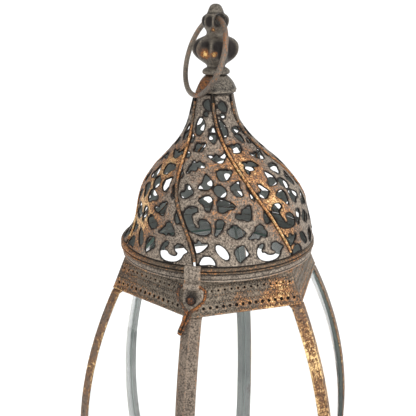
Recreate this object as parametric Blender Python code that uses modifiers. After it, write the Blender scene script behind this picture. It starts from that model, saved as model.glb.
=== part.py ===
"""Hexagonal candle lantern: a pierced, twisted dome lid on a glass body with a footed base.

Run with: blender --background --python part.py

Frame: the origin is the centre of the base on the surface it stands on, +Z is up, the latch
corner of the hexagon faces -Y and the hinge corner faces +Y. Every length below is in
millimetres and becomes metres when a mesh is made.
"""
import math

import bmesh
import bpy
import numpy as np
from mathutils import Vector

MM = 0.001
GAP = 0.3                     # air left between pieces that touch on the real lantern

# Hexagon and heights
SIDES = 6
SIDE_ANGLE = 2 * math.pi / SIDES
CORNER_TURN = math.pi / 6     # turns a six-step turned piece so that its corners face -Y and +Y
BAND_BOTTOM = 285.0           # underside of the upper band, above the ground
BAND_HEIGHT = 21.3
BODY_HEIGHT = 233.0           # glazed height between the two bands
PARTING = 26.55               # where the lid meets the body, above BAND_BOTTOM

# Glazed body
BODY_CORNER_MAX = 103.5       # corner radius at mid height
BODY_CORNER_END = 75.0        # corner radius at the bands
POST_LEG = 7.3
POST_SHEET = 1.0
TUCK = 17.5                   # how far the posts and panes reach up and down inside the bands
TUCK_STEP = 1.7               # the posts step in this far to pass behind a band's sheet
GLASS_THICKNESS = 2.0
GLASS_INSET = 2.85            # from the posts' outside to the panes' outside
BODY_ROWS = 9

# Bands
SHEET = 1.0
BAND_CORNER_WIDE = 75.0
BAND_CORNER_NARROW = 66.0

# Foot
FOOT_CORNER = 80.0
FOOT_ARCH_HALF_WIDTH = 21.0
FOOT_ARCH_HEIGHT = 15.0

# Candle seat
CANDLE_PLATE_RADIUS = 40.0
CANDLE_PLATE_LEVEL = 30.8     # underside of the candle plate above the ground

# Lid
DOME_SHEET = 0.9
DOME_BOTTOM = 31.2            # lower edge of the dome sheet above BAND_BOTTOM
DOME_TOP = 131.2
DOME_TWIST = math.radians(51.0)   # how far the seams lean round the dome, clockwise from above
DOME_OUTLINE = [              # (height above BAND_BOTTOM, radius)
    (31.2, 66.8), (39.2, 63.4), (49.0, 59.9), (59.5, 57.3), (70.0, 53.1), (80.5, 45.2),
    (91.0, 34.8), (101.5, 25.1), (112.0, 18.3), (122.5, 15.1), (131.2, 13.4)]
RIB_RADIUS = 1.2
RIB_SPAN = (33.9, 125.5)      # heights of a rib's two ends above BAND_BOTTOM
GORE_ROWS = 10
GORE_COLUMNS = 3

# Latch
LATCH_AXIS_Y = -70.7
LATCH_AXIS_Z = 20.0
LATCH_WIRE = 0.85
LATCH_LEAN = math.radians(17.0)   # the bail hangs clear of the flared band
TAB_WIDTH = 10.3
KNOB_HEIGHT = 12.0
KNOB_TIP = 75.1               # distance of the knob's tip from the lantern's axis

# Hinge
HINGE_AXIS_Y = 70.8
HINGE_WIDTH = 12.0
KNUCKLE_MID_RADIUS = 1.7      # to the middle of the rolled sheet
PIN_RADIUS = 0.9

# Finial and hanging ring
HOLE_HEIGHT = 177.8           # cross hole above BAND_BOTTOM
HOLE_RADIUS = 3.5
HOLE_ANGLE = math.radians(39.1 - 90.0)
RING_RADIUS = 25.7
RING_WIRE = 1.75
RING_RIDE = 0.7               # the wire's centre line passes this far beyond the hole's axis
RING_LEAN = math.radians(18.7)


# ---------------------------------------------------------------- scene and objects

def clear_scene():
    for old in list(bpy.data.objects):
        bpy.data.objects.remove(old, do_unlink=True)


def new_collection(name):
    collection = bpy.data.collections.new(name)
    bpy.context.scene.collection.children.link(collection)
    return collection


def make_material(name, color, metallic, roughness, transmission=0.0):
    material = bpy.data.materials.new(name)
    material.use_nodes = True
    shader = material.node_tree.nodes["Principled BSDF"]
    shader.inputs["Base Color"].default_value = (*color, 1.0)
    shader.inputs["Metallic"].default_value = metallic
    shader.inputs["Roughness"].default_value = roughness
    shader.inputs["Transmission Weight"].default_value = transmission
    material.diffuse_color = (*color, 1.0)
    return material


def add_pivot(name, y, z, turn=0.0, parent=None):
    """An empty on a joint's axis; its X axis is the axis the child turns about."""
    pivot = bpy.data.objects.new(name, None)
    pivot.empty_display_size = 10 * MM
    place = Vector((0.0, y, z)) * MM
    if parent:
        pivot.parent = parent
        place -= parent.location
    pivot.location = place
    pivot.rotation_euler = (0.0, 0.0, turn)
    PARTS.objects.link(pivot)
    return pivot


def hang_on(obj, pivot):
    """Parent obj to a pivot without moving it."""
    if pivot:
        bpy.context.view_layer.update()
        obj.parent = pivot
        obj.matrix_parent_inverse = pivot.matrix_world.inverted()


def add_object(name, data, material, pivot=None, turn=0.0):
    obj = bpy.data.objects.new(name, data)
    if not data.materials:
        data.materials.append(material)
    obj.rotation_euler = (0.0, 0.0, turn)
    PARTS.objects.link(obj)
    hang_on(obj, pivot)
    return obj


def add_cutter(obj):
    for collection in list(obj.users_collection):
        collection.objects.unlink(obj)
    CUTTERS.objects.link(obj)
    obj.hide_render = True
    obj.display_type = "WIRE"
    return obj


def cut_with(obj, cutter):
    cut = obj.modifiers.new("cut " + cutter.name, "BOOLEAN")
    cut.operation = "DIFFERENCE"
    cut.solver = "EXACT"
    cut.object = cutter


def mesh_of_outline(name, outline, closed, base=BAND_BOTTOM):
    """A mesh of edges only, through (radius, height) points, with heights measured from base."""
    bm = bmesh.new()
    corners = [bm.verts.new((r * MM, 0.0, (base + z) * MM)) for r, z in outline]
    for start, end in zip(corners, corners[1:]):
        bm.edges.new((start, end))
    if closed:
        bm.edges.new((corners[-1], corners[0]))
    mesh = bpy.data.meshes.new(name)
    bm.to_mesh(mesh)
    bm.free()
    return mesh


def add_turn(obj, steps):
    """Turn an object's outline about its own Z axis."""
    screw = obj.modifiers.new("turn", "SCREW")
    screw.axis = "Z"
    screw.steps = steps
    screw.render_steps = steps
    screw.use_smooth_shade = steps > SIDES
    screw.use_merge_vertices = True
    screw.merge_threshold = 0.00001


def turned(name, outline, material, steps=36, closed=True, pivot=None, turn=0.0):
    """Turn an outline about the lantern's axis. It runs down its outer side; a closed one stays
    off the axis, an open one starts and ends on it. Six steps make a hexagonal piece."""
    obj = add_object(name, mesh_of_outline(name, outline, closed), material, pivot, turn)
    add_turn(obj, steps)
    return obj


def turned_pin(name, outline, material, steps, place, rotation):
    """A small solid turned about an axis of its own."""
    obj = add_object(name, mesh_of_outline(name, outline, False, 0.0), material)
    add_turn(obj, steps)
    obj.location = Vector(place) * MM
    obj.rotation_euler = rotation
    return obj


def sheet(name, rows, thickness, material, pivot=None, turn=0.0, skip=None):
    """Sheet metal or glass: a grid of points, thickened equally to both sides. skip(row, column)
    leaves a face out, as between a hinge's knuckles."""
    bm = bmesh.new()
    grid = [[bm.verts.new(Vector(point) * MM) for point in row] for row in rows]
    for i in range(len(grid) - 1):
        for j in range(len(grid[0]) - 1):
            if skip and skip(i, j):
                continue
            bm.faces.new((grid[i][j], grid[i][j + 1], grid[i + 1][j + 1], grid[i + 1][j]))
    loose = [v for v in bm.verts if not v.link_faces]
    bmesh.ops.delete(bm, geom=loose, context="VERTS")
    mesh = bpy.data.meshes.new(name)
    bm.to_mesh(mesh)
    bm.free()
    obj = add_object(name, mesh, material, pivot, turn)
    solid = obj.modifiers.new("sheet", "SOLIDIFY")
    solid.thickness = thickness * MM
    solid.offset = 0.0
    solid.use_even_offset = True
    return obj


def wire(name, points, radius, material, pivot=None, turn=0.0, cyclic=False):
    """Round wire through a list of points."""
    curve = bpy.data.curves.new(name, "CURVE")
    curve.dimensions = "3D"
    curve.bevel_depth = radius * MM
    curve.bevel_resolution = 1
    curve.use_fill_caps = not cyclic
    spline = curve.splines.new("POLY")
    spline.points.add(len(points) - 1)
    for target, point in zip(spline.points, points):
        target.co = (*(Vector(point) * MM), 1.0)
    spline.use_cyclic_u = cyclic
    return add_object(name, curve, material, pivot, turn)


def smooth_path(points, per_step):
    """Points on a Catmull-Rom curve through the given ones."""
    knots = [np.array(p, dtype=float) for p in points]
    knots = [2 * knots[0] - knots[1]] + knots + [2 * knots[-1] - knots[-2]]
    path = []
    for a, b, c, d in zip(knots, knots[1:], knots[2:], knots[3:]):
        for step in range(per_step):
            t = step / per_step
            path.append(0.5 * (2 * b + (c - a) * t + (2 * a - 5 * b + 4 * c - d) * t * t
                               + (3 * b - a - 3 * c + d) * t ** 3))
    path.append(knots[-2])
    return path


def arc(center, radius, start_deg, end_deg, count):
    """count + 1 points on an arc in a plane, from start to end."""
    points = []
    for i in range(count + 1):
        angle = math.radians(start_deg + (end_deg - start_deg) * i / count)
        points.append((center[0] + radius * math.cos(angle), center[1] + radius * math.sin(angle)))
    return points


# ---------------------------------------------------------------- glazed body

def body_corner(height):
    """Corner radius of the glazed body at a height measured from BAND_BOTTOM, downwards negative."""
    middle = -BODY_HEIGHT / 2
    bulge = (BODY_CORNER_MAX - BODY_CORNER_END) / middle ** 2
    return BODY_CORNER_MAX - bulge * (height - middle) ** 2


def tucked_corner(height):
    """Corner radius of the posts' outside: it follows the body between the bands and steps in
    behind the sheet of a band."""
    depth = max(height, -BODY_HEIGHT - height)
    if depth < -1.0:
        return body_corner(height)
    slant = (BAND_CORNER_WIDE - BAND_CORNER_NARROW) / BAND_HEIGHT
    return BAND_CORNER_WIDE - TUCK_STEP - slant * depth


def body_apothem(height, inset, corner):
    """Distance from the axis to a flat side, and its height, a given depth inside the skin whose
    corner radius is corner(height)."""
    step = 0.01
    scale = math.cos(math.pi / SIDES)
    slope = (corner(height + step) - corner(height - step)) * scale / (2 * step)
    length = math.hypot(1.0, slope)
    return corner(height) * scale - inset / length, height + inset * slope / length


def body_heights():
    """Heights of the points down a pane or post, the outer ones inside the two bands."""
    top = [TUCK, TUCK / 2, -0.2]
    between = [-1.6 + (3.2 - BODY_HEIGHT) * i / (BODY_ROWS - 1) for i in range(BODY_ROWS)]
    return top + between + [-BODY_HEIGHT - height for height in reversed(top)]


def corner_posts(material):
    """Six angle strips bent along the corners of the body, outside the glass."""
    half_angle = math.pi / SIDES
    rows = []
    for height in body_heights():
        apothem, z = body_apothem(height, POST_SHEET / 2, tucked_corner)
        ridge = apothem / math.cos(half_angle)
        back = ridge - POST_LEG * math.sin(half_angle)
        across = POST_LEG * math.cos(half_angle)
        rows.append([(back, -across, BAND_BOTTOM + z), (ridge, 0.0, BAND_BOTTOM + z),
                     (back, across, BAND_BOTTOM + z)])
    for k in range(SIDES):
        angle = -math.pi / 2 + k * SIDE_ANGLE
        sheet("corner_post_%d" % (k + 1), rows, POST_SHEET, material, turn=angle)


def glass_panels(material):
    """Six panes, bent from top to bottom and straight across, held behind the posts."""
    rows = []
    for height in body_heights():
        apothem, z = body_apothem(height, GLASS_INSET + GLASS_THICKNESS / 2, body_corner)
        half = (apothem - GLASS_THICKNESS / 2) * math.tan(math.pi / SIDES) - 0.6
        rows.append([(apothem, -half, BAND_BOTTOM + z), (apothem, half, BAND_BOTTOM + z)])
    for k in range(SIDES):
        angle = -math.pi / 2 + (k + 0.5) * SIDE_ANGLE
        sheet("glass_panel_%d" % (k + 1), rows, GLASS_THICKNESS, material, turn=angle)


def bands(material):
    """Hexagonal bands of sheet above and below the glass, round the ends of the posts and panes.
    Each has a narrow flange at its far end."""
    wide, narrow = BAND_CORNER_WIDE, BAND_CORNER_NARROW
    wall, flange = 1.25, 61.0
    run = BAND_HEIGHT
    outline = [(narrow, run), (wide, 0.0), (wide - wall, 0.0),
               (narrow - wall + 0.4, run - SHEET), (flange, run - SHEET), (flange, run)]
    turned("upper_band", outline, material, SIDES, turn=CORNER_TURN)
    flipped = [(r, -BODY_HEIGHT - z) for r, z in reversed(outline)]
    turned("lower_band", flipped, material, SIDES, turn=CORNER_TURN)


def top_collar(material):
    """Round ring that covers the top of the hexagonal band and carries the lid."""
    low = BAND_HEIGHT + GAP
    high = PARTING - GAP / 2
    outline = [(62.5, high), (66.3, high), (67.0, high - 0.8), (67.0, low + 0.8), (66.4, low),
               (52.5, low), (52.5, low + SHEET), (62.5, low + SHEET)]
    turned("top_collar", outline, material)


# ---------------------------------------------------------------- base

def base_plate(material):
    top = -BODY_HEIGHT - BAND_HEIGHT - GAP
    outline = [(0.0, top), (66.6, top), (66.6, top - 1.2), (0.0, top - 1.2)]
    turned("base_plate", outline, material, SIDES, closed=False, turn=CORNER_TURN)


def foot_skirt(material):
    """Flared hexagonal foot with an arch in each side, which leaves a foot at each corner."""
    top = -BODY_HEIGHT - BAND_HEIGHT - 2 * GAP - 1.2
    bottom = -BAND_BOTTOM
    toe = FOOT_CORNER
    outline = [(57.0, top), (66.6, top), (67.0, top - 6.0), (70.0, top - 16.0),
               (toe, bottom + 1.3), (toe, bottom), (toe - 7.0, bottom), (toe - 7.0, bottom + 1.3),
               (toe - 2.4, bottom + 1.3), (68.6, top - 15.4), (65.6, top - 6.0),
               (65.2, top - 1.3), (57.0, top - 1.3)]
    skirt = turned("foot_skirt", outline, material, SIDES, turn=CORNER_TURN)
    half = FOOT_ARCH_HALF_WIDTH
    arch = [(-half, -5.0)]
    arch += [(half * math.cos(a), FOOT_ARCH_HEIGHT * math.sin(a))
             for a in np.linspace(math.pi, 0.0, 9)]
    arch.append((half, -5.0))
    for k in range(SIDES // 2):
        bm = bmesh.new()
        face = bm.faces.new([bm.verts.new((-100 * MM, y * MM, z * MM)) for y, z in arch])
        grown = bmesh.ops.extrude_face_region(bm, geom=[face])
        moved = [g for g in grown["geom"] if isinstance(g, bmesh.types.BMVert)]
        bmesh.ops.translate(bm, verts=moved, vec=(200 * MM, 0.0, 0.0))
        bmesh.ops.recalc_face_normals(bm, faces=bm.faces)
        mesh = bpy.data.meshes.new("foot_arch")
        bm.to_mesh(mesh)
        bm.free()
        cutter = bpy.data.objects.new("foot_arch_%d" % (k + 1), mesh)
        cutter.rotation_euler = (0.0, 0.0, k * SIDE_ANGLE)
        add_cutter(cutter)
        cut_with(skirt, cutter)


def candle_seat(plate_material, spike_material):
    """Dished plate for a pillar candle, with a spike that holds it upright. The spike's foot is
    sunk in the middle, so that a flat candle rests on the plate round it."""
    floor = CANDLE_PLATE_LEVEL - BAND_BOTTOM
    edge = CANDLE_PLATE_RADIUS
    seat = floor + 2.7
    outline = [(0.0, floor + 1.2), (8.8, floor + 1.2), (10.0, seat), (edge - 8, seat),
               (edge - 3, floor + 6.0), (edge, floor + 6.0), (edge, floor + 5.0),
               (edge - 2.4, floor + 5.0), (edge - 7.4, seat - 1.2), (10.4, seat - 1.2),
               (9.2, floor), (0.0, floor)]
    turned("candle_plate", outline, plate_material, closed=False)
    base = floor + 1.2 + GAP
    spike = [(0.0, base + 24.0), (0.5, base + 23.4), (2.4, base + 3.0), (3.4, base + 1.8),
             (8.0, base + 1.2), (8.0, base), (0.0, base)]
    turned("candle_spike", spike, spike_material, 16, closed=False)


# ---------------------------------------------------------------- lid

def dome_curve():
    """Dense heights, radii and running lengths of the dome's outline."""
    path = smooth_path(DOME_OUTLINE, 12)
    heights = np.array([p[0] for p in path])
    radii = np.array([p[1] for p in path])
    steps = np.hypot(np.diff(heights), np.diff(radii))
    return heights, radii, np.concatenate(([0.0], np.cumsum(steps)))


def dome_point(x, s, offset, curve):
    """A place on the dome: x is the distance round from the middle of a gore, s the length up
    the sheet from its lower edge and offset the height above the sheet's middle."""
    heights, radii, lengths = curve
    z = np.interp(s, lengths, heights)
    r = np.interp(s, lengths, radii)
    dz = np.interp(s + 1.0, lengths, heights) - np.interp(s - 1.0, lengths, heights)
    dr = np.interp(s + 1.0, lengths, radii) - np.interp(s - 1.0, lengths, radii)
    size = math.hypot(dz, dr)
    twist = DOME_TWIST * (z - DOME_BOTTOM) / (DOME_TOP - DOME_BOTTOM)
    angle = x / r - twist
    r += offset * dz / size
    z -= offset * dr / size
    return r * math.cos(angle), r * math.sin(angle), BAND_BOTTOM + z


def scroll(center, outer, inner, start_deg, end_deg, count=7):
    """A C-shaped opening: an outer arc, and back along an inner one."""
    return (arc(center, outer, start_deg, end_deg, count)
            + arc(center, inner, end_deg, start_deg, count - 2))


def gore_openings():
    """Openings pierced in a gore, as flat outlines in millimetres: x round, s up the sheet."""
    return [
        [(-29, 2), (-22.5, 6.5), (-19, 6.5), (-19.5, 2)],
        [(-28.5, 9), (-26.5, 15), (-22, 14), (-16, 15), (-23, 9.5)],
        arc((-10, 9.5), 3.6, 0, 315, 7),
        [(-4, 4), (-3, 9.5), (5, 13.5), (4.5, 7)],
        scroll((19, 8), 8.5, 4.0, 100, 350),
        [(0, 21), (4.5, 25.5), (11, 21.5), (7, 18), (2, 18)],
        [(10.5, 17), (20, 24.5), (25, 23), (24, 17.5)],
        [(0.5, 30), (-3, 29.5), (-8, 21), (-1, 26)],
        scroll((-18, 29), 8.0, 4.2, 110, 350),
        [(21, 37), (15, 34), (10, 31.5), (17, 28), (20, 31)],
        [(-8, 41), (-1.5, 44), (-0.5, 41.5), (-3.5, 36), (-6.5, 36)],
        [(4, 40), (8, 42), (13, 38.5), (9, 36)],
        arc((7, 48), 3.6, 0, 315, 7),
        [(0, 59), (-3, 55), (-6.5, 50), (0.5, 49.5), (3, 54)],
        [(8, 62.5), (16.5, 62), (12, 55.5), (8, 56)],
        [(19.5, 54), (14.5, 51), (14.5, 46.5), (19.5, 44.5)],
        [(-11, 51), (-12, 47), (-20, 42), (-15, 50)],
        [(-13, 59.5), (-8, 69), (-0.5, 65), (-6, 61.5)],
        [(3, 73.5), (10, 69), (14.5, 75), (8, 73)],
        [(-8, 77), (-6, 82), (-0.5, 82), (-2.5, 77)],
        arc((8.5, 88), 4.2, 0, 300, 5),
        [(-3.5, 99), (-0.5, 95), (-4, 89), (-6, 95)],
        [(1.5, 111), (-1, 108), (2, 104), (4.5, 108)],
    ]


def prism(bm, outline, low, high):
    """Add a closed prism over a flat outline to a bmesh."""
    bottom = [bm.verts.new((x * MM, s * MM, low * MM)) for x, s in outline]
    face = bm.faces.new(bottom)
    grown = bmesh.ops.extrude_face_region(bm, geom=[face])
    moved = [g for g in grown["geom"] if isinstance(g, bmesh.types.BMVert)]
    bmesh.ops.translate(bm, verts=moved, vec=(0.0, 0.0, (high - low) * MM))


def flat_gore(curve):
    """A gore before it is bent: a thin flat plate that narrows upwards, on a grid."""
    heights, radii, lengths = curve
    half = DOME_SHEET / 2
    bm = bmesh.new()
    levels = []
    for z in (-half, half):
        rows = []
        for i in range(GORE_ROWS + 1):
            s = lengths[-1] * i / GORE_ROWS
            margin = (RIB_RADIUS + GAP) / math.cos(seam_slope(s, curve))
            width = np.interp(s, lengths, radii) * SIDE_ANGLE / 2 - margin
            rows.append([bm.verts.new(((2 * j / GORE_COLUMNS - 1) * width * MM, s * MM, z * MM))
                         for j in range(GORE_COLUMNS + 1)])
        levels.append(rows)
    low, high = levels
    for i in range(GORE_ROWS):
        for j in range(GORE_COLUMNS):
            bm.faces.new((low[i][j], low[i + 1][j], low[i + 1][j + 1], low[i][j + 1]))
            bm.faces.new((high[i][j], high[i][j + 1], high[i + 1][j + 1], high[i + 1][j]))
    for i in range(GORE_ROWS):
        for j in (0, GORE_COLUMNS):
            bm.faces.new((low[i][j], low[i + 1][j], high[i + 1][j], high[i][j]))
    for i in (0, GORE_ROWS):
        for j in range(GORE_COLUMNS):
            bm.faces.new((low[i][j], low[i][j + 1], high[i][j + 1], high[i][j]))
    bmesh.ops.recalc_face_normals(bm, faces=bm.faces)
    mesh = bpy.data.meshes.new("flat_gore")
    bm.to_mesh(mesh)
    bm.free()
    return bpy.data.objects.new("flat_gore", mesh)


def seam_slope(s, curve):
    """Angle between a seam and the upright direction on the sheet, at length s."""
    heights, radii, lengths = curve
    rise = np.interp(s + 1.0, lengths, heights) - np.interp(s - 1.0, lengths, heights)
    run = min(s + 1.0, lengths[-1]) - max(s - 1.0, 0.0)
    twist = DOME_TWIST / (DOME_TOP - DOME_BOTTOM) * rise
    return math.atan2(twist * np.interp(s, lengths, radii), run)


def dome_gores(material, pivot):
    """Six pierced gores: a flat plate is pierced, then bent on to the twisted dome."""
    curve = dome_curve()
    plate = flat_gore(curve)
    PARTS.objects.link(plate)
    bm = bmesh.new()
    for outline in gore_openings():
        prism(bm, outline, -2.0, 2.0)
    bmesh.ops.recalc_face_normals(bm, faces=bm.faces)
    holes = bpy.data.meshes.new("gore_openings")
    bm.to_mesh(holes)
    bm.free()
    cutter = add_cutter(bpy.data.objects.new("gore_openings", holes))
    cut_with(plate, cutter)
    bpy.context.view_layer.update()
    graph = bpy.context.evaluated_depsgraph_get()
    pierced = bpy.data.meshes.new_from_object(plate.evaluated_get(graph))
    bpy.data.objects.remove(plate, do_unlink=True)
    bm = bmesh.new()
    bm.from_mesh(pierced)
    bmesh.ops.remove_doubles(bm, verts=bm.verts, dist=0.00002)
    bmesh.ops.triangulate(bm, faces=bm.faces)
    for vert in bm.verts:
        x, s, offset = vert.co / MM
        vert.co = Vector(dome_point(x, s, offset, curve)) * MM
    bm.to_mesh(pierced)
    bm.free()
    pierced.name = "dome_gore"
    pierced.shade_smooth()
    pierced.set_sharp_from_angle(angle=math.radians(40))
    for k in range(SIDES):
        angle = -math.pi / 2 + (k + 0.5) * SIDE_ANGLE
        add_object("dome_gore_%d" % (k + 1), pierced, material, pivot, angle)


def dome_ribs(material, pivot):
    """Beads soldered over the six seams."""
    curve = dome_curve()
    heights, radii, lengths = curve
    path = []
    for z in np.linspace(RIB_SPAN[0], RIB_SPAN[1], 13):
        path.append(dome_point(0.0, np.interp(z, heights, lengths), 0.0, curve))
    for k in range(SIDES):
        angle = -math.pi / 2 + k * SIDE_ANGLE
        wire("dome_rib_%d" % (k + 1), path, RIB_RADIUS, material, pivot, angle)


def lid_rim_ring(material, pivot):
    low = PARTING + GAP / 2
    high = DOME_BOTTOM - GAP
    outline = [(64.5, high), (67.3, high), (68.2, high - 1.0), (68.2, low + 0.9), (67.5, low),
               (62.8, low), (62.8, low + SHEET), (64.5, low + SHEET)]
    turned("lid_rim_ring", outline, material, pivot=pivot)


# ---------------------------------------------------------------- finial and ring

def finial_parts(cap_material, finial_material, nut_material, pivot):
    """Cap, turned finial, washer and nut, all held together by the finial's stud."""
    rib_turn = -math.pi / 2 - DOME_TWIST
    cap = [(3.9, 142.2), (8.0, 142.2), (12.1, 139.8), (14.8, 135.0), (15.3, 131.6), (13.6, 131.6),
           (3.9, 131.6)]
    turned("finial_cap", cap, cap_material, SIDES, pivot=pivot, turn=rib_turn)
    outline = [(0.0, 187.8), (3.6, 186.8), (4.6, 184.8), (5.4, 182.3), (7.6, 180.4), (8.5, 177.6),
               (7.6, 174.4), (5.8, 171.0), (6.2, 168.6), (11.0, 166.6), (14.9, 162.6),
               (15.7, 159.3), (14.9, 156.0), (11.0, 152.0), (6.2, 150.0), (6.0, 148.8),
               (7.6, 147.4), (7.6, 145.8), (6.4, 144.4), (7.2, 142.5), (2.9, 142.5),
               (2.9, 123.0), (0.0, 123.0)]
    finial = turned("finial", outline, finial_material, 16, closed=False, pivot=pivot)
    bm = bmesh.new()
    bmesh.ops.create_cone(bm, cap_ends=True, segments=16, radius1=HOLE_RADIUS * MM,
                          radius2=HOLE_RADIUS * MM, depth=40 * MM)
    mesh = bpy.data.meshes.new("finial_hole")
    bm.to_mesh(mesh)
    bm.free()
    cutter = add_cutter(bpy.data.objects.new("finial_hole", mesh))
    cutter.location = (0.0, 0.0, (BAND_BOTTOM + HOLE_HEIGHT) * MM)
    cutter.rotation_euler = (0.0, math.pi / 2, HOLE_ANGLE)
    cut_with(finial, cutter)
    washer = [(3.5, 131.2), (12.0, 131.2), (12.0, 130.2), (3.5, 130.2)]
    turned("finial_washer", washer, nut_material, 20, pivot=pivot)
    nut = [(3.7, 129.9), (5.6, 129.9), (5.6, 125.6), (3.7, 125.6)]
    turned("finial_nut", nut, nut_material, SIDES, pivot=pivot)


def hanging_ring(material, pivot):
    """Wire ring threaded through the finial's cross hole, leaning on the cap."""
    bpy.ops.mesh.primitive_torus_add(major_radius=RING_RADIUS * MM, minor_radius=RING_WIRE * MM,
                                     major_segments=40, minor_segments=8)
    ring = bpy.context.object
    ring.name = "hanging_ring"
    ring.data.name = "hanging_ring"
    for collection in list(ring.users_collection):
        collection.objects.unlink(ring)
    PARTS.objects.link(ring)
    ring.data.materials.append(material)
    ring.data.shade_smooth()
    along = Vector((math.cos(HOLE_ANGLE), math.sin(HOLE_ANGLE), 0.0))
    outward = Vector((math.sin(HOLE_ANGLE), -math.cos(HOLE_ANGLE), 0.0))
    down = outward * math.sin(RING_LEAN) + Vector((0.0, 0.0, -math.cos(RING_LEAN)))
    hole = Vector((0.0, 0.0, BAND_BOTTOM + HOLE_HEIGHT))
    ring.location = (hole + down * (RING_RADIUS - RING_RIDE)) * MM
    ring.rotation_mode = "QUATERNION"
    ring.rotation_quaternion = along.cross(down).to_track_quat("Z", "X")
    hang_on(ring, pivot)


# ---------------------------------------------------------------- latch and hinge

def rolled_strip(name, path, columns, material, pivot=None, skip=None):
    """A strip whose side view is a path of (y, height) points, across the given x values."""
    rows = [[(x, y, BAND_BOTTOM + z) for x in columns] for y, z in path]
    return sheet(name, rows, SHEET, material, pivot, skip=skip)


def latch_tab(material, pivot):
    """Tab that comes down from the lid's rim and rolls forward into an eye for the bail."""
    front = LATCH_AXIS_Y + KNUCKLE_MID_RADIUS
    path = [(front + 0.8, 32.6), (front, 31.6)]
    eye = arc((LATCH_AXIS_Y, LATCH_AXIS_Z), KNUCKLE_MID_RADIUS, 0, -280, 12)
    half = TAB_WIDTH / 2
    rolled_strip("latch_tab", path + eye, (-half, half), material, pivot)


def latch_bail(material, pivot):
    """Closed wire loop: through the tab's eye, round the knob and on into a two-wire tail."""
    start = [(6.0, 0.0), (8.2, 1.4), (9.0, 4.2), (8.4, 7.4), (6.4, 10.4), (3.6, 13.0),
             (0.6, 15.2), (-0.4, 17.2)]
    tail_end = [(-4.4, 29.4), (-4.9, 30.9), (-6.3, 31.5), (-7.4, 30.6), (-7.0, 29.0)]
    back = [(-3.0, 16.6), (-3.6, 14.6), (-5.6, 11.8), (-7.6, 9.0), (-8.9, 5.6), (-8.8, 3.0),
            (-8.0, 1.2), (-6.0, 0.0)]
    path = []
    for x, down in start + tail_end + back:
        path.append((x, LATCH_AXIS_Y - down * math.sin(LATCH_LEAN),
                     BAND_BOTTOM + LATCH_AXIS_Z - down * math.cos(LATCH_LEAN)))
    wire("latch_bail", path, LATCH_WIRE, material, pivot, cyclic=True)


def band_front(height):
    """How far the band's latch corner stands in front of the axis at a height."""
    return BAND_CORNER_WIDE - (BAND_CORNER_WIDE - BAND_CORNER_NARROW) * height / BAND_HEIGHT


def latch_knob_parts(plate_material, knob_material):
    """Folded plate on the band's corner, and the domed knob that the bail drops over."""
    rows = []
    for height, half in ((18.6, 6.3), (9.0, 6.3), (4.5, 3.2)):
        front = -band_front(height) - 0.9
        back = front + half * math.tan(math.pi / SIDES)
        z = BAND_BOTTOM + height
        rows.append([(-half, back, z), (0.0, front, z), (half, back, z)])
    sheet("latch_plate", rows, 0.8, plate_material)
    root = band_front(KNOB_HEIGHT) + 2.4
    outline = [(0.0, KNOB_TIP), (1.6, KNOB_TIP - 0.2), (2.8, KNOB_TIP - 0.7),
               (3.45, KNOB_TIP - 1.5), (3.1, KNOB_TIP - 2.0), (1.5, root), (0.0, root)]
    turned_pin("latch_knob", outline, knob_material, 16, (0.0, 0.0, BAND_BOTTOM + KNOB_HEIGHT),
               (math.pi / 2, 0.0, 0.0))


def hinge(leaf_material, pin_material, lid_pivot):
    """Three-knuckle butt hinge on the rear corner: outer knuckles on the body, middle on the lid."""
    radius = KNUCKLE_MID_RADIUS
    half = HINGE_WIDTH / 2
    knuckle = half / 3
    columns = (-half, -knuckle - GAP / 2, knuckle + GAP / 2, half)
    y, z = HINGE_AXIS_Y, PARTING
    plate = y - 3.0
    body_path = [(plate, 19.9), (plate, z - radius - 0.8), (plate + 0.8, z - radius)]
    bend = len(body_path) - 1
    body_path += arc((y, z), radius, -90, 190, 12)
    rolled_strip("hinge_leaf_body", body_path, columns, leaf_material,
                 skip=lambda row, column: row >= bend and column == 1)
    plate = y - 1.8
    lid_path = [(plate, 33.0), (plate, z + radius + 0.9), (plate + 0.8, z + radius)]
    lid_columns = (-half, -knuckle + GAP / 2, knuckle - GAP / 2, half)
    lid_path += arc((y, z), radius, 90, -190, 12)
    rolled_strip("hinge_leaf_lid", lid_path, lid_columns, leaf_material, lid_pivot,
                 skip=lambda row, column: row >= 1 and column != 1)
    length = half + 1.1
    outline = [(0.0, length), (1.6, length), (1.8, length - 0.7), (PIN_RADIUS, length - 0.8),
               (PIN_RADIUS, 0.8 - length), (1.8, 0.7 - length), (1.6, -length), (0.0, -length)]
    turned_pin("hinge_pin", outline, pin_material, 12, (0.0, y, BAND_BOTTOM + z),
               (0.0, math.pi / 2, 0.0))


# ---------------------------------------------------------------- build

def build():
    patina = make_material("patina_sheet", (0.26, 0.22, 0.18), 0.8, 0.5)
    cast = make_material("cast_patina", (0.22, 0.17, 0.13), 0.8, 0.45)
    copper = make_material("rubbed_copper", (0.45, 0.22, 0.09), 0.9, 0.4)
    dark = make_material("dark_iron", (0.08, 0.07, 0.06), 0.8, 0.5)
    glass = make_material("clear_glass", (0.9, 0.96, 0.93), 0.0, 0.03, 1.0)
    lid = add_pivot("lid_pivot", HINGE_AXIS_Y, BAND_BOTTOM + PARTING)
    bail = add_pivot("bail_pivot", LATCH_AXIS_Y, BAND_BOTTOM + LATCH_AXIS_Z, parent=lid)
    ring = add_pivot("ring_pivot", 0.0, BAND_BOTTOM + HOLE_HEIGHT, HOLE_ANGLE, parent=lid)
    foot_skirt(patina)
    base_plate(patina)
    bands(patina)
    top_collar(patina)
    corner_posts(patina)
    glass_panels(glass)
    candle_seat(patina, dark)
    latch_knob_parts(patina, copper)
    dome_gores(patina, lid)
    dome_ribs(copper, lid)
    lid_rim_ring(patina, lid)
    finial_parts(patina, cast, dark, lid)
    latch_tab(patina, lid)
    hinge(patina, dark, lid)
    latch_bail(copper, bail)
    hanging_ring(dark, ring)


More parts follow.
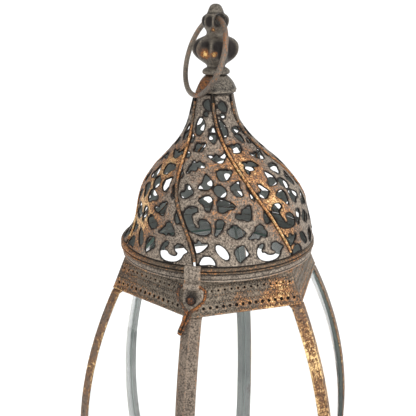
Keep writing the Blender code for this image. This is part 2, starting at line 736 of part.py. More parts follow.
clear_scene()
PARTS = new_collection("candle_lantern")
CUTTERS = new_collection("cutters")
build()
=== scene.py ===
import math

import bmesh
import bpy
import numpy as np
from mathutils import Matrix, Vector, noise
from mathutils.geometry import delaunay_2d_cdt


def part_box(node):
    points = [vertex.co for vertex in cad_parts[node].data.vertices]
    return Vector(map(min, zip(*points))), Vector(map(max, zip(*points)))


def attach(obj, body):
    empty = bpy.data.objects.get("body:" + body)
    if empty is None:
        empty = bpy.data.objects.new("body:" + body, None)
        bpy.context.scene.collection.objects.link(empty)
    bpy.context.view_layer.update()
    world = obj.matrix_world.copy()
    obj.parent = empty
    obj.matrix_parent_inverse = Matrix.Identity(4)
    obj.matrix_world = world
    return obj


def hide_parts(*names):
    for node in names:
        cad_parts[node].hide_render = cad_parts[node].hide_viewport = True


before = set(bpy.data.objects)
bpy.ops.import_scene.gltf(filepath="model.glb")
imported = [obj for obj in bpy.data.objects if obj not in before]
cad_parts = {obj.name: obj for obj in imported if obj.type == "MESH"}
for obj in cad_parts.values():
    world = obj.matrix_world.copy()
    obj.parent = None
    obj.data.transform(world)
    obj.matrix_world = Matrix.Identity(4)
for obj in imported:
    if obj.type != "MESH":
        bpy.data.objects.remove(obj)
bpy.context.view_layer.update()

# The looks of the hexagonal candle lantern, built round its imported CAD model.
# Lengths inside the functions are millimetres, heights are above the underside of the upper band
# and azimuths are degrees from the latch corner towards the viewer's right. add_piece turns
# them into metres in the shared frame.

MM = 0.001
SIDES = 6
SIDE_ANGLE = 2 * math.pi / SIDES
HALF_SIDE = math.pi / SIDES
FRONT = -math.pi / 2          # the direction of the latch corner
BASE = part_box("upper_band")[0].z


def above_band(z):
    """A height in the frame as millimetres above the underside of the upper band."""
    return (z - BASE) / MM


# Heights and radii read from the frame
BAND_HEIGHT = above_band(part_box("upper_band")[1].z)
BAND_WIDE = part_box("upper_band")[1].y / MM
BODY_HEIGHT = -above_band(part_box("lower_band")[1].z)
BODY_CORNER_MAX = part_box("corner_post_1")[0].y / -MM
FOOT_TOP = above_band(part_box("foot_skirt")[1].z)
FOOT_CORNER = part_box("foot_skirt")[1].y / MM
GROUND = above_band(0.0)
KNOB_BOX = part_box("latch_knob")
KNOB_HEIGHT = above_band((KNOB_BOX[0].z + KNOB_BOX[1].z) / 2)

# Sizes shared with the CAD model
BAND_NARROW = 66.0
BAND_RUN = (BAND_WIDE - BAND_NARROW) * math.cos(HALF_SIDE)     # how far a band's side leans in
BAND_SLOPE = math.hypot(BAND_HEIGHT, BAND_RUN)
BODY_CORNER_END = 75.0
POST_LEG = 7.3
POST_SHEET = 1.0
TUCK = 17.5                   # how far posts and panes reach inside the bands
TUCK_STEP = 1.7               # posts step in this far behind a band's sheet
GLASS_THICKNESS = 2.0
GLASS_INSET = 2.85
GAP = 0.3
DOME_SHEET = 0.9
DOME_TWIST = math.radians(51.0)
PARTING = 26.55               # where the lid meets the body
LATCH_AXIS = (-70.7, 20.0)    # (y, height)
LATCH_LEAN = math.radians(17.0)
HOLE_HEIGHT = 177.8           # the finial's cross hole
HOLE_ANGLE = math.radians(39.1 - 90.0)
RING_RADIUS = 25.7
RING_WIRE = 1.75

# The looks' own sizes, a few millimetres at most from the CAD model's
DOME_OUTLINE = [              # (height, radius)
    (31.2, 65.2), (39.2, 61.7), (49.0, 58.8), (59.5, 56.2), (70.0, 51.4), (80.5, 43.4),
    (91.0, 32.7), (101.5, 23.3), (112.0, 17.3), (122.5, 14.3), (131.2, 12.6)]
DOME_BOTTOM = DOME_OUTLINE[0][0]
DOME_TOP = DOME_OUTLINE[-1][0]
DOME_LEAN = [                 # (height, sideways shift): the hand-beaten dome isn't quite straight
    (31.2, 0.6), (37.0, 2.6), (43.0, 3.4), (50.0, 3.6), (58.0, 3.4), (67.0, 2.5), (76.0, 2.0),
    (85.0, 1.5), (94.0, 0.5), (103.0, -0.8), (112.0, -1.8), (120.0, -2.0), (131.2, -1.6)]
LEAN_TOWARDS = math.radians(13.1)
RIM_RADIUS = 67.2
COLLAR_RADIUS = 66.2
INNER_RADIUS = 63.6           # the rim and collar are bare steel inside this
HOLE_RADIUS = 3.8
FLUTES = 9                    # hollows round the finial's ball and bead
FLUTE_TURN = math.radians(-89.0)
BALL_HEIGHT = 159.0
BEAD_HEIGHT = 176.6

# Spots where handling has rubbed the patina through to copper, partly painted highlights (the
# finial's ball, the left gores, the front-right band and post): azimuth, height, spread, strength
WORN_AND_HIGHLIT = [
    (-56, 44, 13, 0.8), (-50, 66, 14, 0.95), (-46, 90, 9, 0.8), (-26, 50, 7, 0.2),
    (16, 76, 11, 0.4), (8, 92, 8, 0.25), (54, 64, 10, 1.05), (62, 42, 8, 0.75),
    (44, 88, 9, 0.9), (52, 12, 5, 0.65), (27, 8, 4, 0.6), (42, 4, 6, 0.4), (-54, 4, 9, 0.35),
    (60, -22, 20, 0.6), (60, -75, 36, 0.65), (-60, -30, 30, 0.45), (-60, -95, 30, 0.35),
    (0, -70, 14, 0.2), (120, 60, 18, 0.5), (180, 45, 14, 0.4), (225, 75, 18, 0.5),
    (180, 8, 12, 0.5), (240, 8, 12, 0.4), (120, -60, 30, 0.4), (180, -110, 30, 0.4),
    # the two spots at height 156.5 are painted highlights on the finial's ball
    (-20, 156.5, 2.6, 1.7), (9, 156.5, 1.4, 1.7), (-36, 137, 4, 1.25), (-2, 171.5, 0.9, 1.6),
    (14, 60, 9, 0.25),
    (0, -225, 16, 0.4), (60, -245, 18, 0.5), (-60, -240, 18, 0.5), (180, -245, 18, 0.5),
    (20, -275, 14, 0.4), (-40, -270, 14, 0.4), (120, -272, 16, 0.4), (240, -272, 16, 0.4)]


# ---------------------------------------------------------------- materials

def srgb(red, green, blue):
    """A linear colour from 0-255 display values."""
    def linear(value):
        value /= 255
        return value / 12.92 if value <= 0.04045 else ((value + 0.055) / 1.055) ** 2.4
    return (linear(red), linear(green), linear(blue), 1.0)


class NodeTree:
    """A material's nodes, with short calls for the few kinds used here."""

    def __init__(self, name):
        self.material = bpy.data.materials.new(name)
        self.material.use_nodes = True
        self.tree = self.material.node_tree
        self.shader = self.tree.nodes["Principled BSDF"]

    def set(self, socket, value):
        if isinstance(value, bpy.types.NodeSocket):
            self.tree.links.new(value, socket)
        else:
            socket.default_value = value

    def add(self, kind, inputs=(), **settings):
        new = self.tree.nodes.new(kind)
        for key, value in settings.items():
            setattr(new, key, value)
        for key, value in dict(inputs).items():
            self.set(new.inputs[key], value)
        return new

    def noise(self, scale, detail=4.0, roughness=0.55, low=0.3, high=0.7):
        """Noise in the object's own coordinates, stretched to run from 0 to 1."""
        place = self.add("ShaderNodeTexCoord").outputs["Object"]
        texture = self.add("ShaderNodeTexNoise", {"Vector": place, "Scale": scale,
                                                  "Detail": detail, "Roughness": roughness})
        return self.spread(texture.outputs["Fac"], low, high)

    def spread(self, value, low, high, start=0.0, end=1.0):
        """A value between low and high, stretched to run from start to end."""
        node = self.add("ShaderNodeMapRange", {"Value": value, "From Min": low, "From Max": high,
                                               "To Min": start, "To Max": end}, clamp=True)
        return node.outputs["Result"]

    def math(self, operation, a, b):
        return self.add("ShaderNodeMath", {0: a, 1: b}, operation=operation).outputs[0]

    def total(self, *terms):
        """Weighted sum of (value, weight) pairs."""
        result = 0.0
        for value, weight in terms:
            result = self.math("ADD", self.math("MULTIPLY", value, weight), result)
        return result

    def attribute(self, name):
        return self.add("ShaderNodeAttribute", attribute_name=name).outputs["Fac"]

    def mix(self, factor, first, second):
        """A colour between two; the node's colour sockets are its inputs 6 and 7 and output 2."""
        node = self.add("ShaderNodeMix", {0: factor, 6: first, 7: second}, data_type="RGBA")
        return node.outputs[2]

    def bump(self, height, strength, distance):
        node = self.add("ShaderNodeBump", {"Height": height, "Strength": strength,
                                           "Distance": distance})
        return node.outputs["Normal"]

    def finish(self, **inputs):
        for name, value in inputs.items():
            self.set(self.shader.inputs[name.replace("_", " ")], value)
        return self.material


def patina_material(name, ground, pale, copper, gold, bias, dirt=0.6, gloss=0.0, relief=1.0,
                    gilt=0.0, grit=1.0):
    """Aged metal: grainy patina with rusty stains, rubbed to copper and flecks of gold on edges and
    at the listed spots, some of which are painted highlights, with dark pits of dirt and painted
    shade in hollows, creases, hole walls and behind openings. bias raises how much copper shows and
    gilt how much gold, gloss lowers the roughness, relief deepens the beaten surface and grit is
    the grain's strength."""
    t = NodeTree(name)
    drift = t.noise(16.0, 3.0)
    blotch = t.noise(70.0, 6.0, 0.65)
    speckle = t.noise(330.0, 6.0, 0.75, 0.36, 0.64)
    grain = t.noise(900.0, 3.0, 0.75, 0.40, 0.60)
    # wear and painted highlights: spots rubbed to copper and gold, some of them painted highlights
    wear_and_highlight = t.attribute("wear_and_highlight")
    edge = t.attribute("edge")
    mottle = t.spread(t.total((grain, 0.60 * grit), (speckle, 0.16 * grit),
                              (drift, 1.0 - 0.76 * grit), (edge, 0.3)), 0.12, 0.88)
    base = t.mix(mottle, ground, pale)
    rusty = t.spread(t.total((wear_and_highlight, 0.9), (blotch, 0.5), (edge, 0.25)), 0.35, 1.0, 0.0, 0.85)
    stained = t.mix(t.math("MULTIPLY", rusty, t.spread(mottle, 0.0, 1.0, 1.0, 0.5)), base, RUST)
    # worn carries the painted highlights along with the wear
    worn = t.total((wear_and_highlight, 0.62), (edge, 0.30), (blotch, 0.32), (speckle, 0.30), (grain, 0.48))
    copper_share = t.spread(worn, 0.98 - bias, 1.16 - bias)
    gold_share = t.spread(worn, 1.36 - bias - gilt, 1.54 - bias - gilt)
    bright = t.mix(gold_share, t.mix(copper_share, stained, copper), gold)
    pits = t.spread(t.noise(560.0, 4.0, 0.75), 0.40, 0.16)
    # painted shade: darkens toward the soot colour where shade falls, in hollows, creases, hole
    # walls and behind openings
    painted_shade = t.spread(t.attribute("painted_shade"), 0.1, 0.7)
    colour = t.mix(t.math("MAXIMUM", t.math("MULTIPLY", pits, dirt), painted_shade), bright, SOOT_AND_SHADE)
    rough = t.spread(t.total((copper_share, -0.20), (speckle, 0.14), (grain, 0.10)),
                     -0.2, 0.24, 0.38 - gloss, 0.70 - gloss)
    height = t.total((speckle, 0.5), (grain, 0.45), (blotch, 0.6))
    return t.finish(Base_Color=colour, Roughness=rough,
                    Metallic=t.spread(copper_share, 0.0, 1.0, 0.40, 0.85),
                    Normal=t.bump(height, 0.55, 0.0007 * relief))


def steel_material():
    """Bare grey sheet inside the lantern, with faint stains, painted lighter than bare steel to
    stand in for light that doesn't reach the inside.
    """
    t = NodeTree("inner_steel")
    cloud = t.noise(60.0, 5.0, 0.6)
    grain = t.noise(900.0, 3.0)
    colour = t.mix(t.total((cloud, 0.6), (grain, 0.4)), srgb(122, 126, 123), srgb(166, 170, 166))
    stained = t.mix(t.spread(cloud, 0.75, 1.0), colour, srgb(84, 58, 40))
    return t.finish(Base_Color=stained, Roughness=t.spread(grain, 0.0, 1.0, 0.45, 0.62),
                    Metallic=0.4, Normal=t.bump(grain, 0.3, 0.0002))


def glass_material(name, tint, roughness_low, roughness_high, clear=1.0):
    """Window glass with the faintest waviness; its ground edges are rough and less clear."""
    t = NodeTree(name)
    smear = t.noise(60.0, 4.0)
    return t.finish(Base_Color=tint, IOR=1.45, Transmission_Weight=clear,
                    Roughness=t.spread(smear, 0.4, 1.0, roughness_low, roughness_high),
                    Normal=t.bump(t.noise(22.0, 2.0), 0.05, 0.001))


RUST = srgb(92, 60, 38)
# soot colour of dirty pits, also used as the colour of painted shade
SOOT_AND_SHADE = srgb(26, 19, 15)
COPPER = (srgb(190, 132, 84), srgb(248, 216, 160))
PATINA = patina_material("aged_sheet", srgb(52, 42, 35), srgb(172, 158, 142), *COPPER, bias=0.05,
                         gilt=0.12)
BAND = patina_material("embossed_sheet", srgb(28, 21, 17), srgb(156, 142, 124), *COPPER,
                       bias=0.05, dirt=0.85, relief=1.5, gilt=0.14)
POST = patina_material("beaten_post", srgb(44, 35, 29), srgb(150, 134, 118), srgb(148, 100, 62),
                       srgb(248, 216, 158), bias=0.06, dirt=0.9, gilt=0.16)
BEAD = patina_material("rubbed_bead", srgb(30, 22, 17), srgb(118, 102, 84), *COPPER, bias=0.14,
                       dirt=0.8)
CAST = patina_material("cast_patina", srgb(26, 21, 18), srgb(150, 140, 125), srgb(150, 96, 56),
                       srgb(242, 202, 132), bias=-0.06, dirt=0.8, gloss=0.16, grit=0.6)
IRON = patina_material("dark_iron", srgb(40, 33, 28), srgb(138, 127, 114), srgb(166, 106, 62),
                       srgb(222, 172, 112), bias=0.14, gloss=0.24, grit=0.5)
WIRE = patina_material("bail_wire", srgb(26, 19, 15), srgb(82, 66, 52), srgb(162, 102, 58),
                       srgb(238, 196, 134), bias=0.32, dirt=0.8, gloss=0.22)
COPPER_KNOB = patina_material("worn_copper", srgb(24, 16, 12), srgb(66, 42, 28),
                              srgb(150, 92, 54), srgb(250, 206, 146), bias=0.40, gloss=0.28)
STEEL = steel_material()
GLASS = glass_material("clear_glass", (0.985, 0.995, 0.99, 1.0), 0.0, 0.03)
GLASS_EDGE = glass_material("glass_edge", srgb(168, 202, 188), 0.45, 0.65, clear=0.75)


# ---------------------------------------------------------------- mesh helpers

def peak(value, middle, spread, power=2):
    """1 where the value is at the middle, fading to 0 some way past the spread."""
    return np.exp(-((value - middle) / spread) ** power)


def wear_and_highlight_at(points):
    """How worn each point is, with the painted highlights among the listed soft spots."""
    x, y, z = points.T
    azimuth = np.degrees(np.arctan2(x, -y))
    total = np.zeros(len(points))
    for where, height, spread, strength in WORN_AND_HIGHLIT:
        turn = (azimuth - where + 180) % 360 - 180
        across = np.radians(turn) * np.hypot(x, y)
        total += strength * np.exp(-(across ** 2 + (z - height) ** 2) / (2 * spread ** 2))
    return total


def new_object(name, data):
    obj = bpy.data.objects.new(name, data)
    bpy.context.scene.collection.objects.link(obj)
    return obj


def add_piece(name, points, faces, body, node, materials, edge=None, painted_shade=None,
              face_slots=None, sharp=40.0, closed=True):
    """Make one visible piece from points in millimetres, ride it on its body and hide the CAD node
    it stands for. edge says how worn each point is, and the shade values how much painted shade
    darkens it."""
    points = np.asarray(points, dtype=float)
    place = points * MM
    place[:, 2] += BASE
    mesh = bpy.data.meshes.new(name)
    mesh.from_pydata(place.tolist(), [], [tuple(int(i) for i in face) for face in faces])
    for material in materials:
        mesh.materials.append(material)
    if face_slots is not None:
        mesh.polygons.foreach_set("material_index", np.asarray(face_slots, dtype=np.int32))
    for key, value in {"wear_and_highlight": wear_and_highlight_at(points), "edge": edge, "painted_shade": painted_shade}.items():
        if value is not None:
            layer = mesh.attributes.new(key, "FLOAT", "POINT")
            layer.data.foreach_set("value", np.asarray(value, dtype=np.float32))
    if closed:
        bm = bmesh.new()
        bm.from_mesh(mesh)
        bmesh.ops.recalc_face_normals(bm, faces=bm.faces)
        bm.to_mesh(mesh)
        bm.free()
    mesh.shade_smooth()
    mesh.set_sharp_from_angle(angle=math.radians(sharp))
    obj = new_object(name, mesh)
    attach(obj, body)
    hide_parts(node)
    return obj


def add_bevel(obj, width, angle):
    bevel = obj.modifiers.new("rounded edges", "BEVEL")
    bevel.width = width * MM
    bevel.segments = 2
    bevel.limit_method = "ANGLE"
    bevel.angle_limit = math.radians(angle)


def add_sheet(name, points, columns, body, node, materials, edge, thickness, rounding, sharp,
              painted_shade=None):
    """A thin sheet from a grid of points, thickened, with rounded edges. The first material is on
    the side that the grid faces, and the last on the other side and round the edges."""
    faces = grid_faces(len(points) // columns, columns)
    sheet = add_piece(name, points, faces, body, node, materials, edge, painted_shade, sharp=sharp,
                      closed=False)
    solid = sheet.modifiers.new("sheet", "SOLIDIFY")
    solid.thickness = thickness * MM
    solid.offset = 0.0
    solid.use_even_offset = True
    solid.material_offset = solid.material_offset_rim = len(materials) - 1
    add_bevel(sheet, rounding, 50.0)


def grid_faces(rows, columns, wrap_rows=False, wrap_columns=False):
    """Quads over a grid of points stored row by row."""
    faces = []
    for i in range(rows if wrap_rows else rows - 1):
        for j in range(columns if wrap_columns else columns - 1):
            a, b = i * columns, (i + 1) % rows * columns
            c, d = j, (j + 1) % columns
            faces.append((a + c, a + d, b + d, b + c))
    return faces


def smooth_path(points, per_step):
    """Points on a Catmull-Rom curve through the given ones."""
    knots = [np.array(p, dtype=float) for p in points]
    knots = [2 * knots[0] - knots[1]] + knots + [2 * knots[-1] - knots[-2]]
    path = []
    for a, b, c, d in zip(knots, knots[1:], knots[2:], knots[3:]):
        for step in range(per_step):
            t = step / per_step
            path.append(0.5 * (2 * b + (c - a) * t + (2 * a - 5 * b + 4 * c - d) * t * t
                               + (3 * b - a - 3 * c + d) * t ** 3))
    return np.array(path + [knots[-2]])


def lengths_along(path):
    """The length from a path's start to each of its points."""
    steps = np.hypot(*np.diff(path, axis=0).T)
    return np.concatenate(([0.0], np.cumsum(steps)))


def wobble(point, scale, seed=0.0):
    """Smooth noise between about -1 and 1 at a point in millimetres."""
    return noise.noise(Vector(point) * scale + Vector((seed, seed, seed)))


def tube(path, radius, sides, closed=False, uneven=0.0):
    """Points and faces of a round wire along a path, a little uneven as if filed by hand."""
    path = np.asarray(path, dtype=float)
    count = len(path)
    if closed:
        tangents = np.roll(path, -1, axis=0) - np.roll(path, 1, axis=0)
    else:
        tangents = np.gradient(path, axis=0)
    tangents /= np.linalg.norm(tangents, axis=1)[:, None]
    side = np.cross(tangents[0], (0.0, 0.0, 1.0))
    if np.linalg.norm(side) < 0.1:
        side = np.cross(tangents[0], (0.0, 1.0, 0.0))
    frames = []
    for tangent in tangents:
        side = side - tangent * np.dot(side, tangent)
        side /= np.linalg.norm(side)
        frames.append((side.copy(), np.cross(tangent, side)))
    drift = 0.0
    if closed:
        end = frames[-1][0]
        drift = math.atan2(np.dot(end, frames[0][1]), np.dot(end, frames[0][0]))
    points = []
    for i, (center, (u, v)) in enumerate(zip(path, frames)):
        for k in range(sides):
            angle = 2 * math.pi * k / sides - drift * i / (count - 1)
            size = radius * (1 + uneven * wobble(center, 0.35, k * 0.4))
            points.append(center + size * (math.cos(angle) * u + math.sin(angle) * v))
    faces = grid_faces(count, sides, wrap_rows=closed, wrap_columns=True)
    if not closed:
        faces.append(tuple(range(sides)))
        faces.append(tuple(range(count * sides - 1, (count - 1) * sides - 1, -1)))
    return np.array(points), faces


def wire_wear(path, sides, least, scale, seed):
    """How worn the points of a tube are, in patches along its path."""
    return np.repeat([least + 0.6 * wobble(p, scale, seed) for p in path], sides)


def lathe(outline, steps, closed=True, reshape=None, turn=0.0):
    """Points and faces of an outline of (radius, height) turned about the lantern's axis. reshape
    may change a radius by its height and angle. An open outline is closed on the axis."""
    points = []
    for step in range(steps):
        angle = 2 * math.pi * step / steps + turn
        for r, z in outline:
            size = reshape(r, z, angle) if reshape else r
            points.append((size * math.cos(angle), size * math.sin(angle), z))
    rows = len(outline)
    faces = grid_faces(steps, rows, wrap_rows=True, wrap_columns=closed)
    if not closed:
        faces.append([k * rows for k in range(steps)])
        faces.append([k * rows + rows - 1 for k in range(steps)][::-1])
    return np.array(points), faces


def rounded(outline):
    """An outline of (radius, height) points with its corners rounded, for a turned piece."""
    radius, steps = 0.3, 2
    result = []
    for k in range(len(outline)):
        here = np.array(outline[k], dtype=float)
        before = np.array(outline[k - 1], dtype=float) - here
        after = np.array(outline[(k + 1) % len(outline)], dtype=float) - here
        reach = min(radius, 0.45 * np.linalg.norm(before), 0.45 * np.linalg.norm(after))
        start = here + before / np.linalg.norm(before) * reach
        end = here + after / np.linalg.norm(after) * reach
        for t in np.linspace(0.0, 1.0, steps + 1):
            result.append(tuple((1 - t) ** 2 * start + 2 * t * (1 - t) * here + t * t * end))
    return result


def at_corner(points, corner):
    """Points modelled on the +X side, turned to a corner of the lantern, counted from the latch.
    A half is the middle of the side that follows."""
    points = np.asarray(points, dtype=float)
    c, s = (f(FRONT + corner * SIDE_ANGLE) for f in (math.cos, math.sin))
    return np.column_stack([points[:, 0] * c - points[:, 1] * s,
                            points[:, 0] * s + points[:, 1] * c, points[:, 2]])


def shape_with_wear_and_shade(points, faces, slots=0, edge=0.0, painted_shade=0.0):
    """A shape to join: slots, edge and hollow are one value or a pattern that repeats."""
    count = len(points)
    return (points, faces, np.resize(slots, len(faces)), np.resize(edge, count),
            np.resize(painted_shade, count))


def join(shapes):
    """Several shapes as one: points, faces, slots, edge and painted shade."""
    points, some_faces, slots, edge, painted_shade = zip(*shapes)
    faces, start = [], 0
    for group, new_faces in zip(points, some_faces):
        faces += [tuple(int(i) + start for i in face) for face in new_faces]
        start += len(group)
    return (np.concatenate(points), faces, np.concatenate(slots), np.concatenate(edge),
            np.concatenate(painted_shade))


# ---------------------------------------------------------------- pierced sheet

def cut_corners(outline):
    """Round an outline's corners by cutting them off twice, as a punch leaves them."""
    share = 0.22
    points = np.array(outline, dtype=float)
    for _ in range(2):
        step = np.roll(points, -1, axis=0) - points
        cut = np.stack([points + step * share, points + step * (1 - share)], axis=1)
        points = cut.reshape(-1, 2)
    return points


def area_of(loop):
    x, y = loop[:, 0], loop[:, 1]
    return 0.5 * float(np.sum(x * np.roll(y, -1) - np.roll(x, -1) * y))


def grown(loop, distance):
    """A counter-clockwise loop moved outwards."""
    normal = np.zeros_like(loop)
    for side in (loop - np.roll(loop, 1, axis=0), np.roll(loop, -1, axis=0) - loop):
        length = np.linalg.norm(side, axis=1)[:, None] + 1e-9
        normal += np.column_stack([side[:, 1], -side[:, 0]]) / length
    size = np.maximum(np.linalg.norm(normal, axis=1)[:, None], 0.6)
    return loop + normal / size * distance * np.minimum(2 / size, 1.5)


def inside(points, loop):
    """Which points lie inside a closed loop."""
    result = np.zeros(len(points), dtype=bool)
    x, y = points[:, 0], points[:, 1]
    for (x1, y1), (x2, y2) in zip(loop, np.roll(loop, -1, axis=0)):
        crosses = (y1 > y) != (y2 > y)
        at = x1 + (y - y1) * (x2 - x1) / ((y2 - y1) if y2 != y1 else 1e-12)
        result ^= crosses & (x < at)
    return result


def near(points, loop, distance):
    """Which points lie within a distance of a closed loop's line."""
    result = np.zeros(len(points), dtype=bool)
    for start, end in zip(loop, np.roll(loop, -1, axis=0)):
        along = end - start
        t = np.clip((points - start) @ along / (along @ along + 1e-12), 0, 1)
        result |= np.linalg.norm(points - (start + t[:, None] * along), axis=1) < distance
    return result


def oval(x, s, across, up, count=14):
    return [(x + across * math.cos(2 * math.pi * k / count),
             s + up * math.sin(2 * math.pi * k / count)) for k in range(count)]


def ring_edges(start, count):
    """The edges round a closed ring of points, numbered from start."""
    return [(start + k, start + (k + 1) % count) for k in range(count)]


def flat_points(loops, dots, spacing):
    """The points of a flat sheet between its outlines: the outlines themselves, each moved by its
    rim, two rings and a tip for each dot, and a lattice. Also the edges to keep and the height of
    each raised point."""
    flat, edges, raised = [], [], {}
    for loop, rim in loops:
        edges += ring_edges(len(flat), len(loop))
        flat += list(grown(loop, rim))
    for x, s, radius, height in dots:
        for share, level in ((1.0, 0.0), (0.6, 0.75)):
            edges += ring_edges(len(flat), 8)
            raised.update({len(flat) + k: height * level for k in range(8)})
            flat += oval(x, s, radius * share, radius * share, 8)
        raised[len(flat)] = height
        flat.append((x, s))
    boundary = loops[0][0]
    low, high = boundary.min(axis=0), boundary.max(axis=0)
    across = np.arange(low[0] + spacing / 2, high[0], spacing)
    up = np.arange(low[1] + spacing / 2, high[1], spacing)
    lattice = np.array([(x + (i % 2) * spacing / 2, s) for i, s in enumerate(up) for x in across])
    keep = inside(lattice, boundary)
    for loop, rim in loops:
        keep &= ~near(lattice, loop, abs(rim) + spacing * 0.3)
    for loop, _ in loops[1:]:
        keep &= ~inside(lattice, loop)
    for x, s, radius, _ in dots:
        keep &= np.hypot(lattice[:, 0] - x, lattice[:, 1] - s) > radius + spacing * 0.25
    return flat + list(lattice[keep]), edges, raised


def triangulated(flat, edges, loops):
    """Triangles of the sheet between its outlines: the places of their corners, the triangles and
    each flat point's number among the places."""
    result = delaunay_2d_cdt([Vector(p) for p in flat], edges, [], 0, 1e-5)
    places = np.array([tuple(v) for v in result[0]])
    triangles = np.array([tuple(f) for f in result[2]])
    index = {old: new for new, olds in enumerate(result[3]) for old in olds}
    middles = places[triangles].mean(axis=1)
    solid = inside(middles, grown(*loops[0]))
    for hole in loops[1:]:
        solid &= ~inside(middles, grown(*hole))
    return places, triangles[solid], index


def pierced_plate(boundary, holes, thickness, spacing, rim=0.25, dots=(), lip=0.6):
    """A flat sheet with holes and embossed dots, as (points, faces, slots, edge). A point is
    (x, s, height). Every edge, of the sheet and of a hole, is rounded over its rim, and lip says
    how worn it is. Slot 1 is the sheet's back."""
    loops = [(boundary, -rim)]
    loops += [(hole if area_of(hole) > 0 else hole[::-1], rim) for hole in holes]
    flat, edges, raised = flat_points(loops, dots, spacing)
    places, triangles, index = triangulated(flat, edges, loops)
    count = len(places)
    half = thickness / 2
    lift = np.zeros(count)
    for old, height in raised.items():
        lift[index[old]] = height
    points = [np.column_stack([places, half + lift]),
              np.column_stack([places, np.full(count, -half)])]
    # raised dots are lightened like worn edges, partly a painted highlight on their tops
    edge = [np.clip(lift * 3.0, 0, 1), np.zeros(count)]
    faces = [tuple(t) for t in triangles] + [tuple(t[::-1] + count) for t in triangles]
    slots = [0] * len(triangles) + [1] * len(triangles)
    start, total = 0, 2 * count
    for loop, _ in loops:
        size = len(loop)
        ring = [index[start + k] for k in range(size)]
        edge[0][ring] = lip
        edge.append(np.ones(2 * size))
        points += [np.column_stack([loop, np.full(size, half * share)]) for share in (0.45, -0.45)]
        levels = [ring, range(total, total + size), range(total + size, total + 2 * size),
                  [r + count for r in ring]]
        for a, b in zip(levels, levels[1:]):
            for k in range(size):
                j = (k + 1) % size
                faces.append((a[k], b[k], b[j], a[j]))
        slots += [0] * 3 * size
        start += size
        total += 2 * size
    used = sorted({int(i) for face in faces for i in face})
    renumbered = {old: new for new, old in enumerate(used)}
    faces = [tuple(renumbered[int(i)] for i in face) for face in faces]
    return np.concatenate(points)[used], faces, slots, np.concatenate(edge)[used]


# ---------------------------------------------------------------- dome

